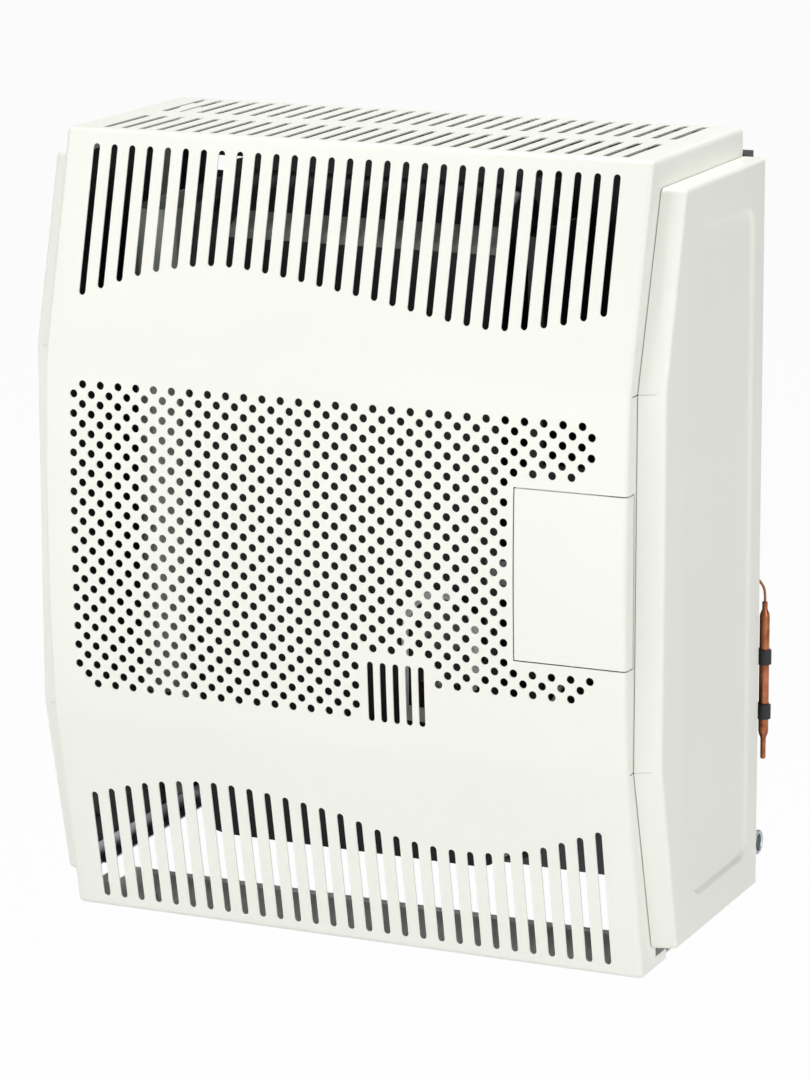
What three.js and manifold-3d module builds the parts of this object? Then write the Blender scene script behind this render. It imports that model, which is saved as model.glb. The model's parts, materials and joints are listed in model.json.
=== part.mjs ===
// Wall mounted gas heater, built as an assembly of its separate pieces. Sizes are in millimetres.
// x runs to the viewer's right, y runs from the front of the heater to the wall, and z runs up.
// Pieces are drawn with y = 0 at the wall and z = 0 at the casing's lower edge. The group at the
// end lowers them, so that the origin is the middle of the wall plate's rear face.

import * as THREE from 'three';
import { mergeVertices } from 'three/addons/utils/BufferGeometryUtils.js';
import Module from 'manifold-3d';

const wasm = await Module();
wasm.setup();

// ---------------------------------------------------------------- driving dimensions

// Fits
const clearance = 0.3; // between pieces that rest on or in each other
const mountHeight = 305; // from the casing's lower edge up to the origin

// Front casing: one folded sheet with a top, a sloped grille, a bowed middle and a lower grille
const casingWidth = 474;
const casingHeight = 610;
const wallGap = 20; // from the wall to the rear edge of the casing
const topDepth = 185;
const middleDepth = 229;
const bottomDepth = 196;
const upperFold = 446; // height of the fold between the upper grille and the middle
const lowerFold = 166;
const frontBow = 6; // how far the middle bulges past its two folds
const casingSheet = 1;
const foldRadius = 60;
const bendRadius = 5.5; // between the top or the bottom and the front
const edgeRadius = 4; // along the left and right edges of the front
const sideReturn = 22;
const bottomReturn = 48;
const bottomLip = 10; // height of the lip along the side edges of the bottom return
const reliefSlit = 1;

// Grille slots of the casing
const slotCount = 29;
const slotPitch = 15;
const slotWidth = 5.5;
const upperSlotMargin = 10.5; // from the casing's top down to the upper slots
const lowerSlotBottom = 9.4;
const topSlotLength = 72;
const topSlotMargin = 11; // from the front edge of the top to the first row of slots
const topSlotRowGap = 24;
// Crests and troughs that the slot ends follow, as [x, distance from the fold]
const upperWave = [[-262, 33], [-93, 70], [118, 39.5], [250, 60]];
const lowerWave = [[-265, 74], [-95, 46.8], [92, 77.7], [290, 30]];

// Perforated field of the casing and the viewing slots
const fieldLeft = -212;
const fieldRight = 208.5;
const fieldTop = 422;
const fieldBottom = 189;
const holePitch = 33;
const holeSize = 12; // across the corners of the diamond shaped holes
const viewSlotCount = 5;
const viewSlotPitch = 10.3;
const viewSlotWidth = 5;
const viewSlotLeft = 33.3; // middle of the first viewing slot
const viewSlotBottom = 186;
const viewSlotTop = 232.5;
const viewMargin = 11.5; // unpunched margin round the viewing slots
const lowRightField = 215; // below this height the field ends left of the viewing slots

// Control door in the right edge of the casing
const doorLeft = 149.5;
const doorBottom = 246;
const doorHeight = 128;
const doorGap = 1; // between the door and the edge of its opening
const doorWrap = 11.5; // how far the door reaches back round the casing's edge
const doorReturn = 6;
const hingeInset = 2.5; // from the outer face of the casing's side in to the hinge axis
const hingeSetback = 2; // from the door's rear edge forward to the hinge axis
const hingeNotch = 1.9; // space behind the door's edge, so that it can turn
const doorPinRadius = 1.25;
const doorPinLength = 7.5;

// Side panels: shallow pressed trays outside the casing's side returns
const panelStandOut = 19;
const panelGap = 0.7; // between the casing's side and a panel's inner edge
const panelTopInset = 21.5; // from the casing's top down to a panel's upper edge
const panelBottom = 19.5;
const panelSheet = 1;
const panelEdgeRadius = 3.5;
const panelTopDepth = 168;
const panelUpperDepth = 207;
const panelLowerDepth = 210;
const panelBottomDepth = 176;
const panelSlant = 9; // how much further forward the panel's inner edge lies
const panelEndSlant = 4; // the same at the top and bottom corners
const recessDepth = 3;
const recessWall = 4; // width of the sloped edge of the recess
const recessRear = 27; // from the rear edge of the panel to the recess
const recessTop = 36;
const recessBottom = 33;
const recessFrontAtEnds = 39;
const recessFrontAtFolds = 51;
const recessCorner = 14;

// Wall plate and frame
const plateHalfWidth = 238.5;
const plateBottom = 4;
const plateTopInset = 19.5; // from the casing's top down to the plate's upper edge
const plateSheet = 1.2;
const plateNotchWidth = 34; // of the cut lower corners
const plateNotchTop = 30;
const frameSheet = 1.2;
const hangSlotWidth = 44;
const hangSlotHeight = 12;
const hangSlotMiddle = 193;
const hangSlotInset = 40; // from the plate's upper edge down to the slots' lower edges
const hangingRailHalfWidth = 226;
const hangingRailWeb = 38;
const hangingRailDrop = 6; // how far the web's upper edge lies below the ledge
const hangingRailLedge = 12; // width of the ledge in front of the casing's rear edge
const armHeight = 14;
const armLedge = 12;
const armLow = 28; // height of the arms' lower edges
const armTabDepth = 8; // of the base rail's tabs, which stand inside the arms
const armInset = 3.5; // from the casing's outer side to the outer face of an arm
const baseRailDepth = 72;
const baseRailLip = 4;
const armFrontInset = 12; // from the casing's bottom edge back to the front of arms and rail

// Combustion chamber: two enamelled shells that meet at a flange
const chamberLeft = -155;
const chamberRight = 105;
const chamberBottom = 50;
const chamberTop = 570;
const chamberFrontTop = 536;
const chamberRear = 25; // from the wall to the chamber's rear face
const chamberFront = 165;
const chamberSplit = 95;
const chamberSheet = 1.5;
const chamberFlange = 10;
const chamberDraft = 4;
const chamberCorner = 22;
const gasketThickness = 1.4;
const chamberMountWidth = 30;
const chamberMountFoot = 10;
const chamberMountLow = 160;
const chamberMountHigh = 330;
const deflectorWidth = 24;
const deflectorLeftInset = 33; // from the chamber's sides in to the deflector's ends
const deflectorRightInset = 5;
const deflectorLip = 5;

// Flue: an exhaust spigot inside an air intake collar
const flueX = -25;
const flueZ = 430;
const exhaustRadius = 37.5;
const exhaustWall = 1.5;
const exhaustLength = 60;
const collarRadius = 62.5;
const collarWall = 2.5;
const collarFlange = 12;
const airHoleRadius = 8;
const airHoleCount = 6;

// Access plate with the sight glass, on the front of the chamber
const sightX = 55;
const sightZ = 238;
const sightRadius = 20;
const accessHalfWidth = 34;
const accessBottom = 162;
const accessSheet = 1.6;
const accessHoleInset = 9;
const glassRadius = 24;
const glassThickness = 4;
const sightFrameHalfWidth = 32;
const sightFrameBottom = 166;
const sightFrameLeg = 9; // width of the legs beside the pilot row's window
const sightFrameBar = 11; // height of the bar below that window
const sightFrameSheet = 1.5;
const pilotRowZ = 197;
const pilotSpacing = 12;

// Main burner
const burnerY = -128;
const burnerZ = 152;
const burnerRadius = 15;
const burnerWall = 1.2;
const burnerPortCount = 6;
const burnerPortWidth = 2.6;
const injectorRadius = 8;
const injectorHex = 10;
const injectorHexEnd = 12; // from the chamber's side out to the end of the hexagon

// Heat shields
const shieldSheet = 1;
const shieldLeftOuter = -207;
const shieldLeftInner = -167;
const shieldFront = 170;
const shieldBottom = 165;
const shieldTop = 545;
const shieldRightX = 117;
const shieldRightBottom = 178;
const shieldRightTop = 540;
const shieldRightFront = 150;

// Controls behind the door
const controlX = 190;
const knobZ = 322;
const igniterZ = 268;
const controlPanelY = -206; // front face of the control panel
const controlPanelLeft = 140;
const controlPanelBottom = 238;
const controlPanelTop = 382;
const controlSheet = 1;
const valveWidth = 58;
const valveDepth = 52;
const valveBottom = 286;
const valveTop = 350;
const valvePortX = 14; // from the spindle's axis to either port
const valvePortLength = 9;
const spindleRadius = 5;
const spindleFront = 33; // how far the spindle reaches in front of the control panel
const spindleInValve = 16;
const knobRadius = 20;
const knobDepth = 23;
const knobGap = 11; // from the control panel to the knob's rear rim
const knobPress = 4;
const knobRibs = 12;
const igniterRadius = 9;
const igniterLength = 46;
const igniterNut = 12.5;
const igniterNutThickness = 3;
const buttonRadius = 6;
const buttonTravel = 5;
const buttonProud = 10;

// Gas inlet
const inletZ = 50;
const inletY = -10;
const inletStandOut = 15.5; // from the wall plate's side out to the end of the inlet
const inletRadius = 9.6;
const inletBore = 6.6;
const inletLength = 20;
const inletBoreDepth = 12;
const inletPipeRadius = 5;

// Pipes and leads: how they leave their fittings, and the places that they bend at
const pipeStub = 14; // straight run of a gas pipe out of a fitting
const leadStub = 5;
const fittingLength = 8; // of the pilot burner and the thermocouple in front of the access plate
const sparkTail = 12; // the same for the spark electrode
const supplyBends = [[208, -28, 64], [204, -60, 98], [204, -148.7, 180], [204, -178.7, 230]];
const burnerPipeRadius = 4;
const burnerPipeBends = [[176, -178.7, 240], [176, -172.7, 190], [162, -138, 158]];
const pilotPipeRadius = 2;
const pilotPortZ = 300;
const pilotPipeBends = [[134.7, -187.5, 250], [101, -187.5, 203], [72, -186.5, 197]];
const thermocoupleLeadRadius = 1.4;
const thermocouplePortZ = 326;
const thermocoupleBends = [[120.7, -195.5, 290], [89, -195.5, 186], [53, -193.5, 186]];
const ignitionLeadRadius = 1.6;
const ignitionBends = [[164, -157, 232], [130, -175, 172], [81, -193.2, 172], [59, -191.2, 180]];
const capillaryPortZ = 334;
const capillaryBends = [[214, -80, 318], [222, -22, 292], [230, -9.7, 263]];

// Thermostat bulb behind the right side panel
const bulbStandOut = 17.5; // from the wall plate's side out to the middle of the bulb
const bulbY = -9.7;
const bulbLow = 139;
const bulbHigh = 234;
const bulbRadius = 3.9;
const bulbTailRadius = 2.1;
const bulbTailEnd = 118;
const bulbNeckEnd = 243.5;
const capillaryRadius = 1;
const capillaryExitZ = 263;
const clipHeight = 12;
const clipThickness = 1.5;
const clipHeights = [194, 150.5];

// Screws
const screwShank = 1.7;
const screwHead = 3.8;
const screwHeadHeight = 1.9;
const screwLength = 7;
const casingScrewX = 180;

// Number of flat sides that stand for a circle
const largeSides = 20;
const mediumSides = 12;
const smallSides = 8;

// Places that follow from the dimensions above
const halfWidth = casingWidth / 2;
const upperSlotTop = casingHeight - upperSlotMargin;
const panelTop = casingHeight - panelTopInset;
const plateTop = casingHeight - plateTopInset;
const hangSlotBottom = plateTop - hangSlotInset;
const inletEndX = plateHalfWidth + inletStandOut;
const bulbX = plateHalfWidth + bulbStandOut;
const casingRearY = -wallGap;
const topFrontY = -wallGap - topDepth;
const foldY = -wallGap - middleDepth;
const bottomFrontY = -wallGap - bottomDepth;
const doorTop = doorBottom + doorHeight;
const bowY = foldY - frontBow;
const doorWrapY = foldY - frontBow / 2 + doorWrap - casingSheet;
const hingeX = halfWidth - hingeInset;
const hingeY = doorWrapY - hingeSetback;
const panelInnerX = halfWidth + panelGap;
const panelOuterX = halfWidth + panelStandOut;
const plateFrontY = -plateSheet;
const armFrontY = bottomFrontY + armFrontInset;
const railBackY = plateFrontY - 2 * clearance;

// ---------------------------------------------------------------- materials

function finish(color, roughness, metalness) {
  return new THREE.MeshStandardMaterial({ color, roughness, metalness });
}
const ivoryPaint = finish(0xf3f1e4, 0.45, 0);
const galvanised = finish(0xb4bcc0, 0.45, 0.85);
const darkSteel = finish(0x505356, 0.5, 0.4);
const blackEnamel = finish(0x15161a, 0.5, 0.1);
const brass = finish(0xc2a24c, 0.35, 0.9);
const copper = finish(0xb5673f, 0.35, 0.9);
const castAluminium = finish(0xc2c4c6, 0.5, 0.8);
const blackPlastic = finish(0x1b1b1d, 0.5, 0);
const whiteCeramic = finish(0xeeeae0, 0.4, 0);
const fibreGasket = finish(0xd9d6cc, 0.95, 0);
const sightGlassFinish = new THREE.MeshStandardMaterial({
  color: 0xbfc8c4,
  roughness: 0.1,
  metalness: 0,
  transparent: true,
  opacity: 0.4,
});
const ferriteBlack = finish(0x2a2a2c, 0.7, 0.2);
const leadSleeve = finish(0xd8d4c8, 0.7, 0);

// ---------------------------------------------------------------- shape helpers

function shapeOf(loop, holes = []) {
  const shape = new THREE.Shape(loop.map(([a, b]) => new THREE.Vector2(a, b)));
  for (const hole of holes) {
    shape.holes.push(new THREE.Path(hole.map(([a, b]) => new THREE.Vector2(a, b))));
  }
  return shape;
}

function extrude(shapes, depth) {
  return new THREE.ExtrudeGeometry(shapes, { depth, bevelEnabled: false });
}

const axisX = new THREE.Vector3(1, 0, 0);
const axisY = new THREE.Vector3(0, 1, 0);
const axisZ = new THREE.Vector3(0, 0, 1);
const lyingAlongX = new THREE.Matrix4().makeBasis(axisY, axisZ, axisX);
const lyingAlongY = new THREE.Matrix4().makeBasis(axisX, axisZ, axisY.clone().negate());

// A prism whose outline is given in (y, z), from x = start to x = end
function prismX(loop, start, end, holes) {
  return extrude(shapeOf(loop, holes), end - start).applyMatrix4(lyingAlongX).translate(start, 0, 0);
}

// A prism whose outline is given in (x, z), from y = start to y = end
function prismY(loop, start, end, holes) {
  return extrude(shapeOf(loop, holes), end - start).applyMatrix4(lyingAlongY).translate(0, end, 0);
}

// A prism whose outline is given in (x, y), from z = start to z = end
function prismZ(loop, start, end, holes) {
  return extrude(shapeOf(loop, holes), end - start).translate(0, 0, start);
}

function box(x0, x1, y0, y1, z0, z1) {
  const geometry = new THREE.BoxGeometry(x1 - x0, y1 - y0, z1 - z0);
  return geometry.translate((x0 + x1) / 2, (y0 + y1) / 2, (z0 + z1) / 2);
}

function rectangle(a0, a1, b0, b1) {
  return [[a0, b0], [a1, b0], [a1, b1], [a0, b1]];
}

function circle(a, b, radius, sides, start = 0) {
  const loop = [];
  for (let k = 0; k < sides; k += 1) {
    const angle = start + (2 * Math.PI * k) / sides;
    loop.push([a + radius * Math.cos(angle), b + radius * Math.sin(angle)]);
  }
  return loop;
}

// Points of the arc that rounds one corner of an outline
function cornerArc(before, corner, after, radius, steps) {
  const into = new THREE.Vector2(before[0] - corner[0], before[1] - corner[1]).normalize();
  const out = new THREE.Vector2(after[0] - corner[0], after[1] - corner[1]).normalize();
  const half = Math.acos(THREE.MathUtils.clamp(into.dot(out), -1, 1)) / 2;
  const reach = radius / Math.tan(half);
  const middle = into.clone().add(out).normalize().multiplyScalar(radius / Math.sin(half));
  const centre = new THREE.Vector2(corner[0] + middle.x, corner[1] + middle.y);
  const first = new THREE.Vector2(corner[0], corner[1]).addScaledVector(into, reach).sub(centre);
  const last = new THREE.Vector2(corner[0], corner[1]).addScaledVector(out, reach).sub(centre);
  const turn = Math.atan2(first.cross(last), first.dot(last));
  const points = [];
  for (let k = 0; k <= steps; k += 1) {
    const spoke = first.clone().rotateAround(new THREE.Vector2(), (turn * k) / steps);
    points.push([centre.x + spoke.x, centre.y + spoke.y]);
  }
  return points;
}

// A closed outline from corners [a, b, radius, steps]; a corner without a radius stays sharp
function roundedLoop(corners) {
  return corners.flatMap(([a, b, radius, steps], k) => {
    if (!radius) return [[a, b]];
    const before = corners[(k + corners.length - 1) % corners.length];
    const after = corners[(k + 1) % corners.length];
    return cornerArc(before, [a, b], after, radius, steps);
  });
}

function roundedRectangle(a0, a1, b0, b1, radius, steps) {
  return roundedLoop(rectangle(a0, a1, b0, b1).map(([a, b]) => [a, b, radius, steps]));
}

// The closed outline moved inwards by a distance, with mitred corners
function insetLoop(loop, distance) {
  const outline = loop.map(([a, b]) => new THREE.Vector2(a, b));
  const side = THREE.ShapeUtils.area(outline) > 0 ? 1 : -1;
  return outline.map((point, k) => {
    const before = outline[(k + outline.length - 1) % outline.length];
    const after = outline[(k + 1) % outline.length];
    const first = point.clone().sub(before).normalize();
    const second = after.clone().sub(point).normalize();
    const normal = new THREE.Vector2(-first.y - second.y, first.x + second.x).normalize();
    const lean = normal.dot(new THREE.Vector2(-first.y, first.x));
    const moved = point.clone().addScaledVector(normal, (side * distance) / lean);
    return [moved.x, moved.y];
  });
}

// The closed outline of a bent strip of sheet: the open line and its copy one thickness to the
// left of it, seen along its own direction
function stripLoop(line, thickness) {
  const points = line.map(([a, b]) => new THREE.Vector2(a, b));
  const copy = points.map((point, k) => {
    const first = point.clone().sub(points[Math.max(k - 1, 0)]).normalize();
    const second = points[Math.min(k + 1, points.length - 1)].clone().sub(point).normalize();
    const along = k === 0 ? second : first;
    const normal = new THREE.Vector2(-first.y - second.y, first.x + second.x).normalize();
    const lean = normal.dot(new THREE.Vector2(-along.y, along.x));
    const moved = point.clone().addScaledVector(normal, thickness / lean);
    return [moved.x, moved.y];
  });
  return [...line, ...copy.reverse()];
}

// A closed body through outlines of equal length, stacked along one axis in rising order
function loft(sections, place) {
  const count = sections[0].loop.length;
  const outline = sections[0].loop.map(([a, b]) => new THREE.Vector2(a, b));
  const faces = THREE.ShapeUtils.triangulateShape(outline, []);
  const rising = THREE.ShapeUtils.area(outline) > 0;
  const positions = sections.flatMap(({ at, loop }) => loop.flatMap(([a, b]) => [a, b, at]));
  const index = [];
  const add = (a, b, c) => index.push(...(rising ? [a, b, c] : [a, c, b]));
  for (let level = 0; level < sections.length - 1; level += 1) {
    for (let k = 0; k < count; k += 1) {
      const next = (k + 1) % count;
      const low = level * count;
      add(low + k, low + next, low + count + next);
      add(low + k, low + count + next, low + count + k);
    }
  }
  const last = (sections.length - 1) * count;
  const flip = (a, b, c) => {
    const turn = new THREE.Vector2().subVectors(outline[b], outline[a]);
    return turn.cross(new THREE.Vector2().subVectors(outline[c], outline[a])) < 0;
  };
  for (const [a, b, c] of faces) {
    const [p, q] = flip(a, b, c) ? [c, b] : [b, c];
    index.push(last + a, last + p, last + q, a, q, p);
  }
  const geometry = new THREE.BufferGeometry();
  geometry.setAttribute('position', new THREE.Float32BufferAttribute(positions, 3));
  geometry.setIndex(index);
  return geometry.applyMatrix4(place);
}

// A round bar or ring that lies along y
function ringY(x, z, outer, inner, start, end, sides) {
  const holes = inner > 0 ? [circle(x, z, inner, sides)] : [];
  return prismY(circle(x, z, outer, sides), start, end, holes);
}

// A turned part that lies along y, from profile points [radius, y]
function turnedY(x, z, profile, sides) {
  const points = profile.map(([radius, y]) => new THREE.Vector2(radius, y));
  return new THREE.LatheGeometry(points, sides).translate(x, 0, z);
}

// A tube or rod whose middle follows a smooth curve through the given points
function tubeAlong(points, radius, sides, steps, bend = 0.5) {
  const path = new THREE.CatmullRomCurve3(
    points.map(([x, y, z]) => new THREE.Vector3(x, y, z)),
    false,
    'catmullrom',
    bend,
  );
  const section = shapeOf(circle(0, 0, radius, sides, Math.PI / sides));
  return new THREE.ExtrudeGeometry(section, { steps, extrudePath: path, bevelEnabled: false });
}

// ---------------------------------------------------------------- joining and cutting

function solid(geometry) {
  const bare = geometry.clone();
  bare.deleteAttribute('normal');
  bare.deleteAttribute('uv');
  const merged = mergeVertices(bare, 1e-4);
  const vertProperties = new Float32Array(merged.attributes.position.array);
  const triVerts = new Uint32Array(merged.index.array);
  return new wasm.Manifold(new wasm.Mesh({ numProp: 3, vertProperties, triVerts }));
}

function asSolid(piece) {
  return piece.isBufferGeometry ? solid(piece) : piece;
}

function join(...pieces) {
  return pieces.map(asSolid).reduce((sum, piece) => sum.add(piece));
}

function cut(body, ...tools) {
  return tools.map(asSolid).reduce((rest, tool) => rest.subtract(tool), asSolid(body));
}

function common(body, tool) {
  return asSolid(body).intersect(asSolid(tool));
}

function geometryOf(body) {
  const mesh = body.getMesh();
  const geometry = new THREE.BufferGeometry();
  geometry.setAttribute('position', new THREE.Float32BufferAttribute(mesh.vertProperties, 3));
  geometry.setIndex([...mesh.triVerts]);
  return geometry;
}

const heater = new THREE.Group();
const assembly = new THREE.Group();
assembly.position.z = -mountHeight;
heater.add(assembly);

function addPiece(name, body, material) {
  const geometry = body.isBufferGeometry ? body : geometryOf(body);
  const mesh = new THREE.Mesh(geometry, material);
  mesh.name = name;
  assembly.add(mesh);
  return mesh;
}

// ---------------------------------------------------------------- front casing

// Depth of the front's middle part at a height between the two folds
function bowedFrontY(z) {
  const middle = (upperFold + lowerFold) / 2;
  const share = (z - middle) / (upperFold - middle);
  return foldY - frontBow * (1 - share * share);
}

// Side outline of the casing, in (y, z), closed by lines behind the wall plane and below
function casingLoop(rearY) {
  const bowSteps = 6;
  const bow = [];
  for (let k = 1; k < bowSteps; k += 1) {
    const z = upperFold + ((lowerFold - upperFold) * k) / bowSteps;
    bow.push([bowedFrontY(z), z]);
  }
  return roundedLoop([
    [rearY, casingHeight],
    [topFrontY, casingHeight, bendRadius, 3],
    [foldY, upperFold, foldRadius, 2],
    ...bow,
    [foldY, lowerFold, foldRadius, 2],
    [bottomFrontY, 0, bendRadius, 3],
    [rearY, 0],
  ]);
}

// The side outline as a solid of the given width with rounded left and right edges
function roundedSlab(loop, width, radius) {
  const geometry = new THREE.ExtrudeGeometry(shapeOf(loop), {
    depth: width - 2 * radius,
    bevelEnabled: true,
    bevelThickness: radius,
    bevelSize: radius,
    bevelOffset: -radius,
    bevelSegments: 2,
  });
  return geometry.applyMatrix4(lyingAlongX).translate(radius - width / 2, 0, 0);
}

// The folded sheet with nothing punched out of it
function plainCasing() {
  const past = 20; // how far cutting solids reach past what they cut
  const outer = roundedSlab(casingLoop(past), casingWidth, edgeRadius);
  const innerLoop = insetLoop(casingLoop(past + 20), casingSheet);
  const inner = roundedSlab(innerLoop, casingWidth - 2 * casingSheet, edgeRadius - casingSheet);
  const sharp = [
    [past + 60, casingHeight],
    [topFrontY, casingHeight],
    [foldY, upperFold],
    [foldY, lowerFold],
    [bottomFrontY, 0],
    [past + 60, 0],
  ];
  const behindReturns = prismX(insetLoop(sharp, sideReturn), -halfWidth - 1, halfWidth + 1);
  const behind = box(-halfWidth - 1, halfWidth + 1, casingRearY, past + 70, -5, casingHeight + 5);
  const below = box(
    -halfWidth - 1, halfWidth + 1,
    bottomFrontY + bottomReturn, past,
    -5, sideReturn + 0.5,
  );
  const aboveLip = box(
    -halfWidth - 1, halfWidth + 1,
    bottomFrontY + sideReturn + 4, past,
    bottomLip, sideReturn + 1,
  );
  return cut(outer, inner, behindReturns, behind, below, aboveLip);
}

// A slot with rounded ends, as an outline whose long side runs along the second coordinate
function slotLoop(a, low, high, width) {
  const half = width / 2;
  return [
    [a - half, low + half], [a, low], [a + half, low + half],
    [a + half, high - half], [a, high], [a - half, high - half],
  ];
}

function slotPlaces() {
  return Array.from({ length: slotCount }, (_, k) => (k - (slotCount - 1) / 2) * slotPitch);
}

// Distance of a wavy line from its fold at x: it eases from each crest or trough to the next
function waveDistance(knots, x) {
  const next = knots.findIndex(([knotX], k) => k > 0 && x <= knotX);
  const [x0, z0] = knots[next - 1];
  const [x1, z1] = knots[next];
  return z0 + ((z1 - z0) * (1 - Math.cos((Math.PI * (x - x0)) / (x1 - x0)))) / 2;
}

function grilleCutter() {
  const loops = slotPlaces().flatMap((x) => [
    slotLoop(x, upperFold + waveDistance(upperWave, x), upperSlotTop, slotWidth),
    slotLoop(x, lowerSlotBottom, lowerFold - waveDistance(lowerWave, x), slotWidth),
  ]);
  for (let k = 0; k < viewSlotCount; k += 1) {
    const x = viewSlotLeft + k * viewSlotPitch;
    loops.push(slotLoop(x, viewSlotBottom, viewSlotTop, viewSlotWidth));
  }
  return loops;
}

function topGrilleCutter() {
  const front = topFrontY + topSlotMargin;
  const rear = front + topSlotLength + topSlotRowGap;
  return slotPlaces().flatMap((x) => [
    slotLoop(x, front, front + topSlotLength, slotWidth),
    slotLoop(x, rear, rear + topSlotLength, slotWidth),
  ]);
}

// Whether the sheet is perforated at (x, z): the field leaves out the door and the viewing slots
function isPerforated(x, z) {
  const viewLeft = viewSlotLeft - viewMargin;
  const viewRight = viewSlotLeft + (viewSlotCount - 1) * viewSlotPitch + viewMargin;
  if (z > doorTop + holeSize) return true;
  if (z > doorBottom - holeSize) return x < doorLeft - holeSize;
  return x < viewLeft || (x > viewRight && z > lowRightField);
}

// Staggered rows of diamond shaped holes
function perforationLoops() {
  const loops = [];
  const columns = Math.round((2 * (fieldRight - fieldLeft)) / holePitch);
  const rows = Math.round((2 * (fieldTop - fieldBottom)) / holePitch);
  for (let row = 0; row <= rows; row += 1) {
    for (let column = (row + 1) % 2; column <= columns; column += 2) {
      const x = fieldLeft + (column * (fieldRight - fieldLeft)) / columns;
      const z = fieldTop - (row * (fieldTop - fieldBottom)) / rows;
      if (isPerforated(x, z)) loops.push(circle(x, z, holeSize / 2, 4));
    }
  }
  return loops;
}

function doorOpening() {
  const inner = halfWidth - 2 * edgeRadius;
  const front = box(
    doorLeft - doorGap, inner + 1,
    bowY - 5, foldY + doorWrap,
    doorBottom - doorGap, doorTop + doorGap,
  );
  const side = box(
    inner, halfWidth + 1,
    bowY - 5, doorWrapY + hingeNotch,
    doorBottom - doorGap, doorTop + doorGap,
  );
  return join(front, side);
}

function reliefSlits() {
  return [-1, 1].flatMap((side) => [upperFold, lowerFold].map((z) => {
    const x0 = side * (halfWidth - 2 * casingSheet);
    const x1 = side * (halfWidth + 1);
    return box(
      Math.min(x0, x1), Math.max(x0, x1),
      foldY + edgeRadius, foldY + sideReturn + 2,
      z - reliefSlit / 2, z + reliefSlit / 2,
    );
  }));
}

function screwHoles(radius) {
  return [-1, 1].map((side) => {
    const loop = circle(side * casingScrewX, armFrontY + 10, radius, smallSides);
    return prismZ(loop, -5, 10);
  });
}

const bareCasing = plainCasing();

function frontCasing() {
  const throughFront = [...grilleCutter(), ...perforationLoops()].map((loop) => shapeOf(loop));
  const frontTools = extrude(throughFront, 70)
    .applyMatrix4(lyingAlongY)
    .translate(0, bowY + 60, 0);
  const throughTop = topGrilleCutter().map((loop) => shapeOf(loop));
  const topTools = extrude(throughTop, 20).translate(0, 0, casingHeight - 10);
  return cut(
    bareCasing, frontTools, topTools, doorOpening(),
    ...reliefSlits(), ...screwHoles(screwShank + clearance),
  );
}

addPiece('front_casing', frontCasing(), ivoryPaint);

// ---------------------------------------------------------------- control door

// The door is the piece of the same folded sheet that fills its opening, with returned edges
function controlDoor() {
  const block = box(doorLeft, halfWidth + 5, bowY - 5, doorWrapY, doorBottom, doorTop);
  const skin = common(bareCasing, block);
  const behindSkin = bowY + frontBow / 4 + casingSheet / 2;
  const returnRear = behindSkin + doorReturn;
  const leftReturn = box(
    doorLeft, doorLeft + casingSheet, behindSkin, returnRear, doorBottom, doorTop,
  );
  const rightInner = halfWidth - 2 * casingSheet;
  const edges = [doorBottom, doorTop - casingSheet].map((z) => {
    const edge = box(doorLeft, rightInner, behindSkin, returnRear, z, z + casingSheet);
    const pinHole = prismZ(
      circle(hingeX, hingeY, doorPinRadius + clearance, smallSides), z - 1, z + 2,
    );
    return cut(join(edge, hingeEar(z, returnRear)), pinHole);
  });
  return join(skin, leftReturn, ...edges);
}

// The ear that carries a pin at the door's top or bottom edge
function hingeEar(z, returnRear) {
  const earRadius = hingeInset - casingSheet / 2 + 0.4;
  const neck = rectangle(hingeX - 9, hingeX + casingSheet, returnRear - 2, hingeY);
  return join(
    prismZ(neck, z, z + casingSheet),
    prismZ(circle(hingeX, hingeY, earRadius, mediumSides), z, z + casingSheet),
  );
}

const pinStart = doorPinLength / 2 - 1;

function doorPin(z, direction) {
  const far = z + direction * pinStart;
  const near = far - direction * doorPinLength;
  const loop = circle(hingeX, hingeY, doorPinRadius, smallSides);
  return prismZ(loop, Math.min(near, far) + direction * 2, Math.max(near, far) + direction * 2);
}

// A bracket inside the casing's side return, with an ear for the door's pin
function hingeBracket(direction) {
  const edge = direction > 0 ? doorTop + doorGap : doorBottom - doorGap;
  const earNear = edge + direction * clearance;
  const earFar = earNear + direction * frameSheet;
  const plateX = halfWidth - casingSheet - clearance;
  const rear = hingeY + 12;
  const plateFar = earNear + direction * 16;
  const earLoop = rectangle(hingeX - 6, plateX, hingeY - 4, rear);
  const ear = prismZ(earLoop, Math.min(earNear, earFar), Math.max(earNear, earFar));
  const plate = box(
    plateX - frameSheet, plateX,
    hingeY + doorPinRadius + 1.5, rear,
    Math.min(earNear, plateFar), Math.max(earNear, plateFar),
  );
  const hole = prismZ(
    circle(hingeX, hingeY, doorPinRadius + clearance, smallSides),
    Math.min(earNear, earFar) - 1, Math.max(earNear, earFar) + 1,
  );
  return cut(join(ear, plate), hole);
}

function doorMagnet() {
  const front = bowY + frontBow / 4 + casingSheet / 2 + doorReturn + clearance;
  return box(doorLeft - 2, doorLeft + 9, front, front + 9, magnetLow, magnetHigh);
}

const magnetLow = (doorBottom + doorTop) / 2 - 12;
const magnetHigh = (doorBottom + doorTop) / 2 + 12;

function magnetBracket() {
  const front = bowY + casingSheet + clearance + 0.1;
  const right = doorLeft - 2 - clearance;
  const loop = stripLoop([[right, front + 15], [right, front], [right - 20, front]], -frameSheet);
  return prismZ(loop, magnetLow + 3, magnetHigh - 3);
}

addPiece('control_door', controlDoor(), ivoryPaint);
addPiece('door_pin_upper', doorPin(doorTop, 1), galvanised);
addPiece('door_pin_lower', doorPin(doorBottom, -1), galvanised);
addPiece('hinge_bracket_upper', hingeBracket(1), galvanised);
addPiece('hinge_bracket_lower', hingeBracket(-1), galvanised);
addPiece('door_magnet', doorMagnet(), ferriteBlack);
addPiece('magnet_bracket', magnetBracket(), galvanised);

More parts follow.
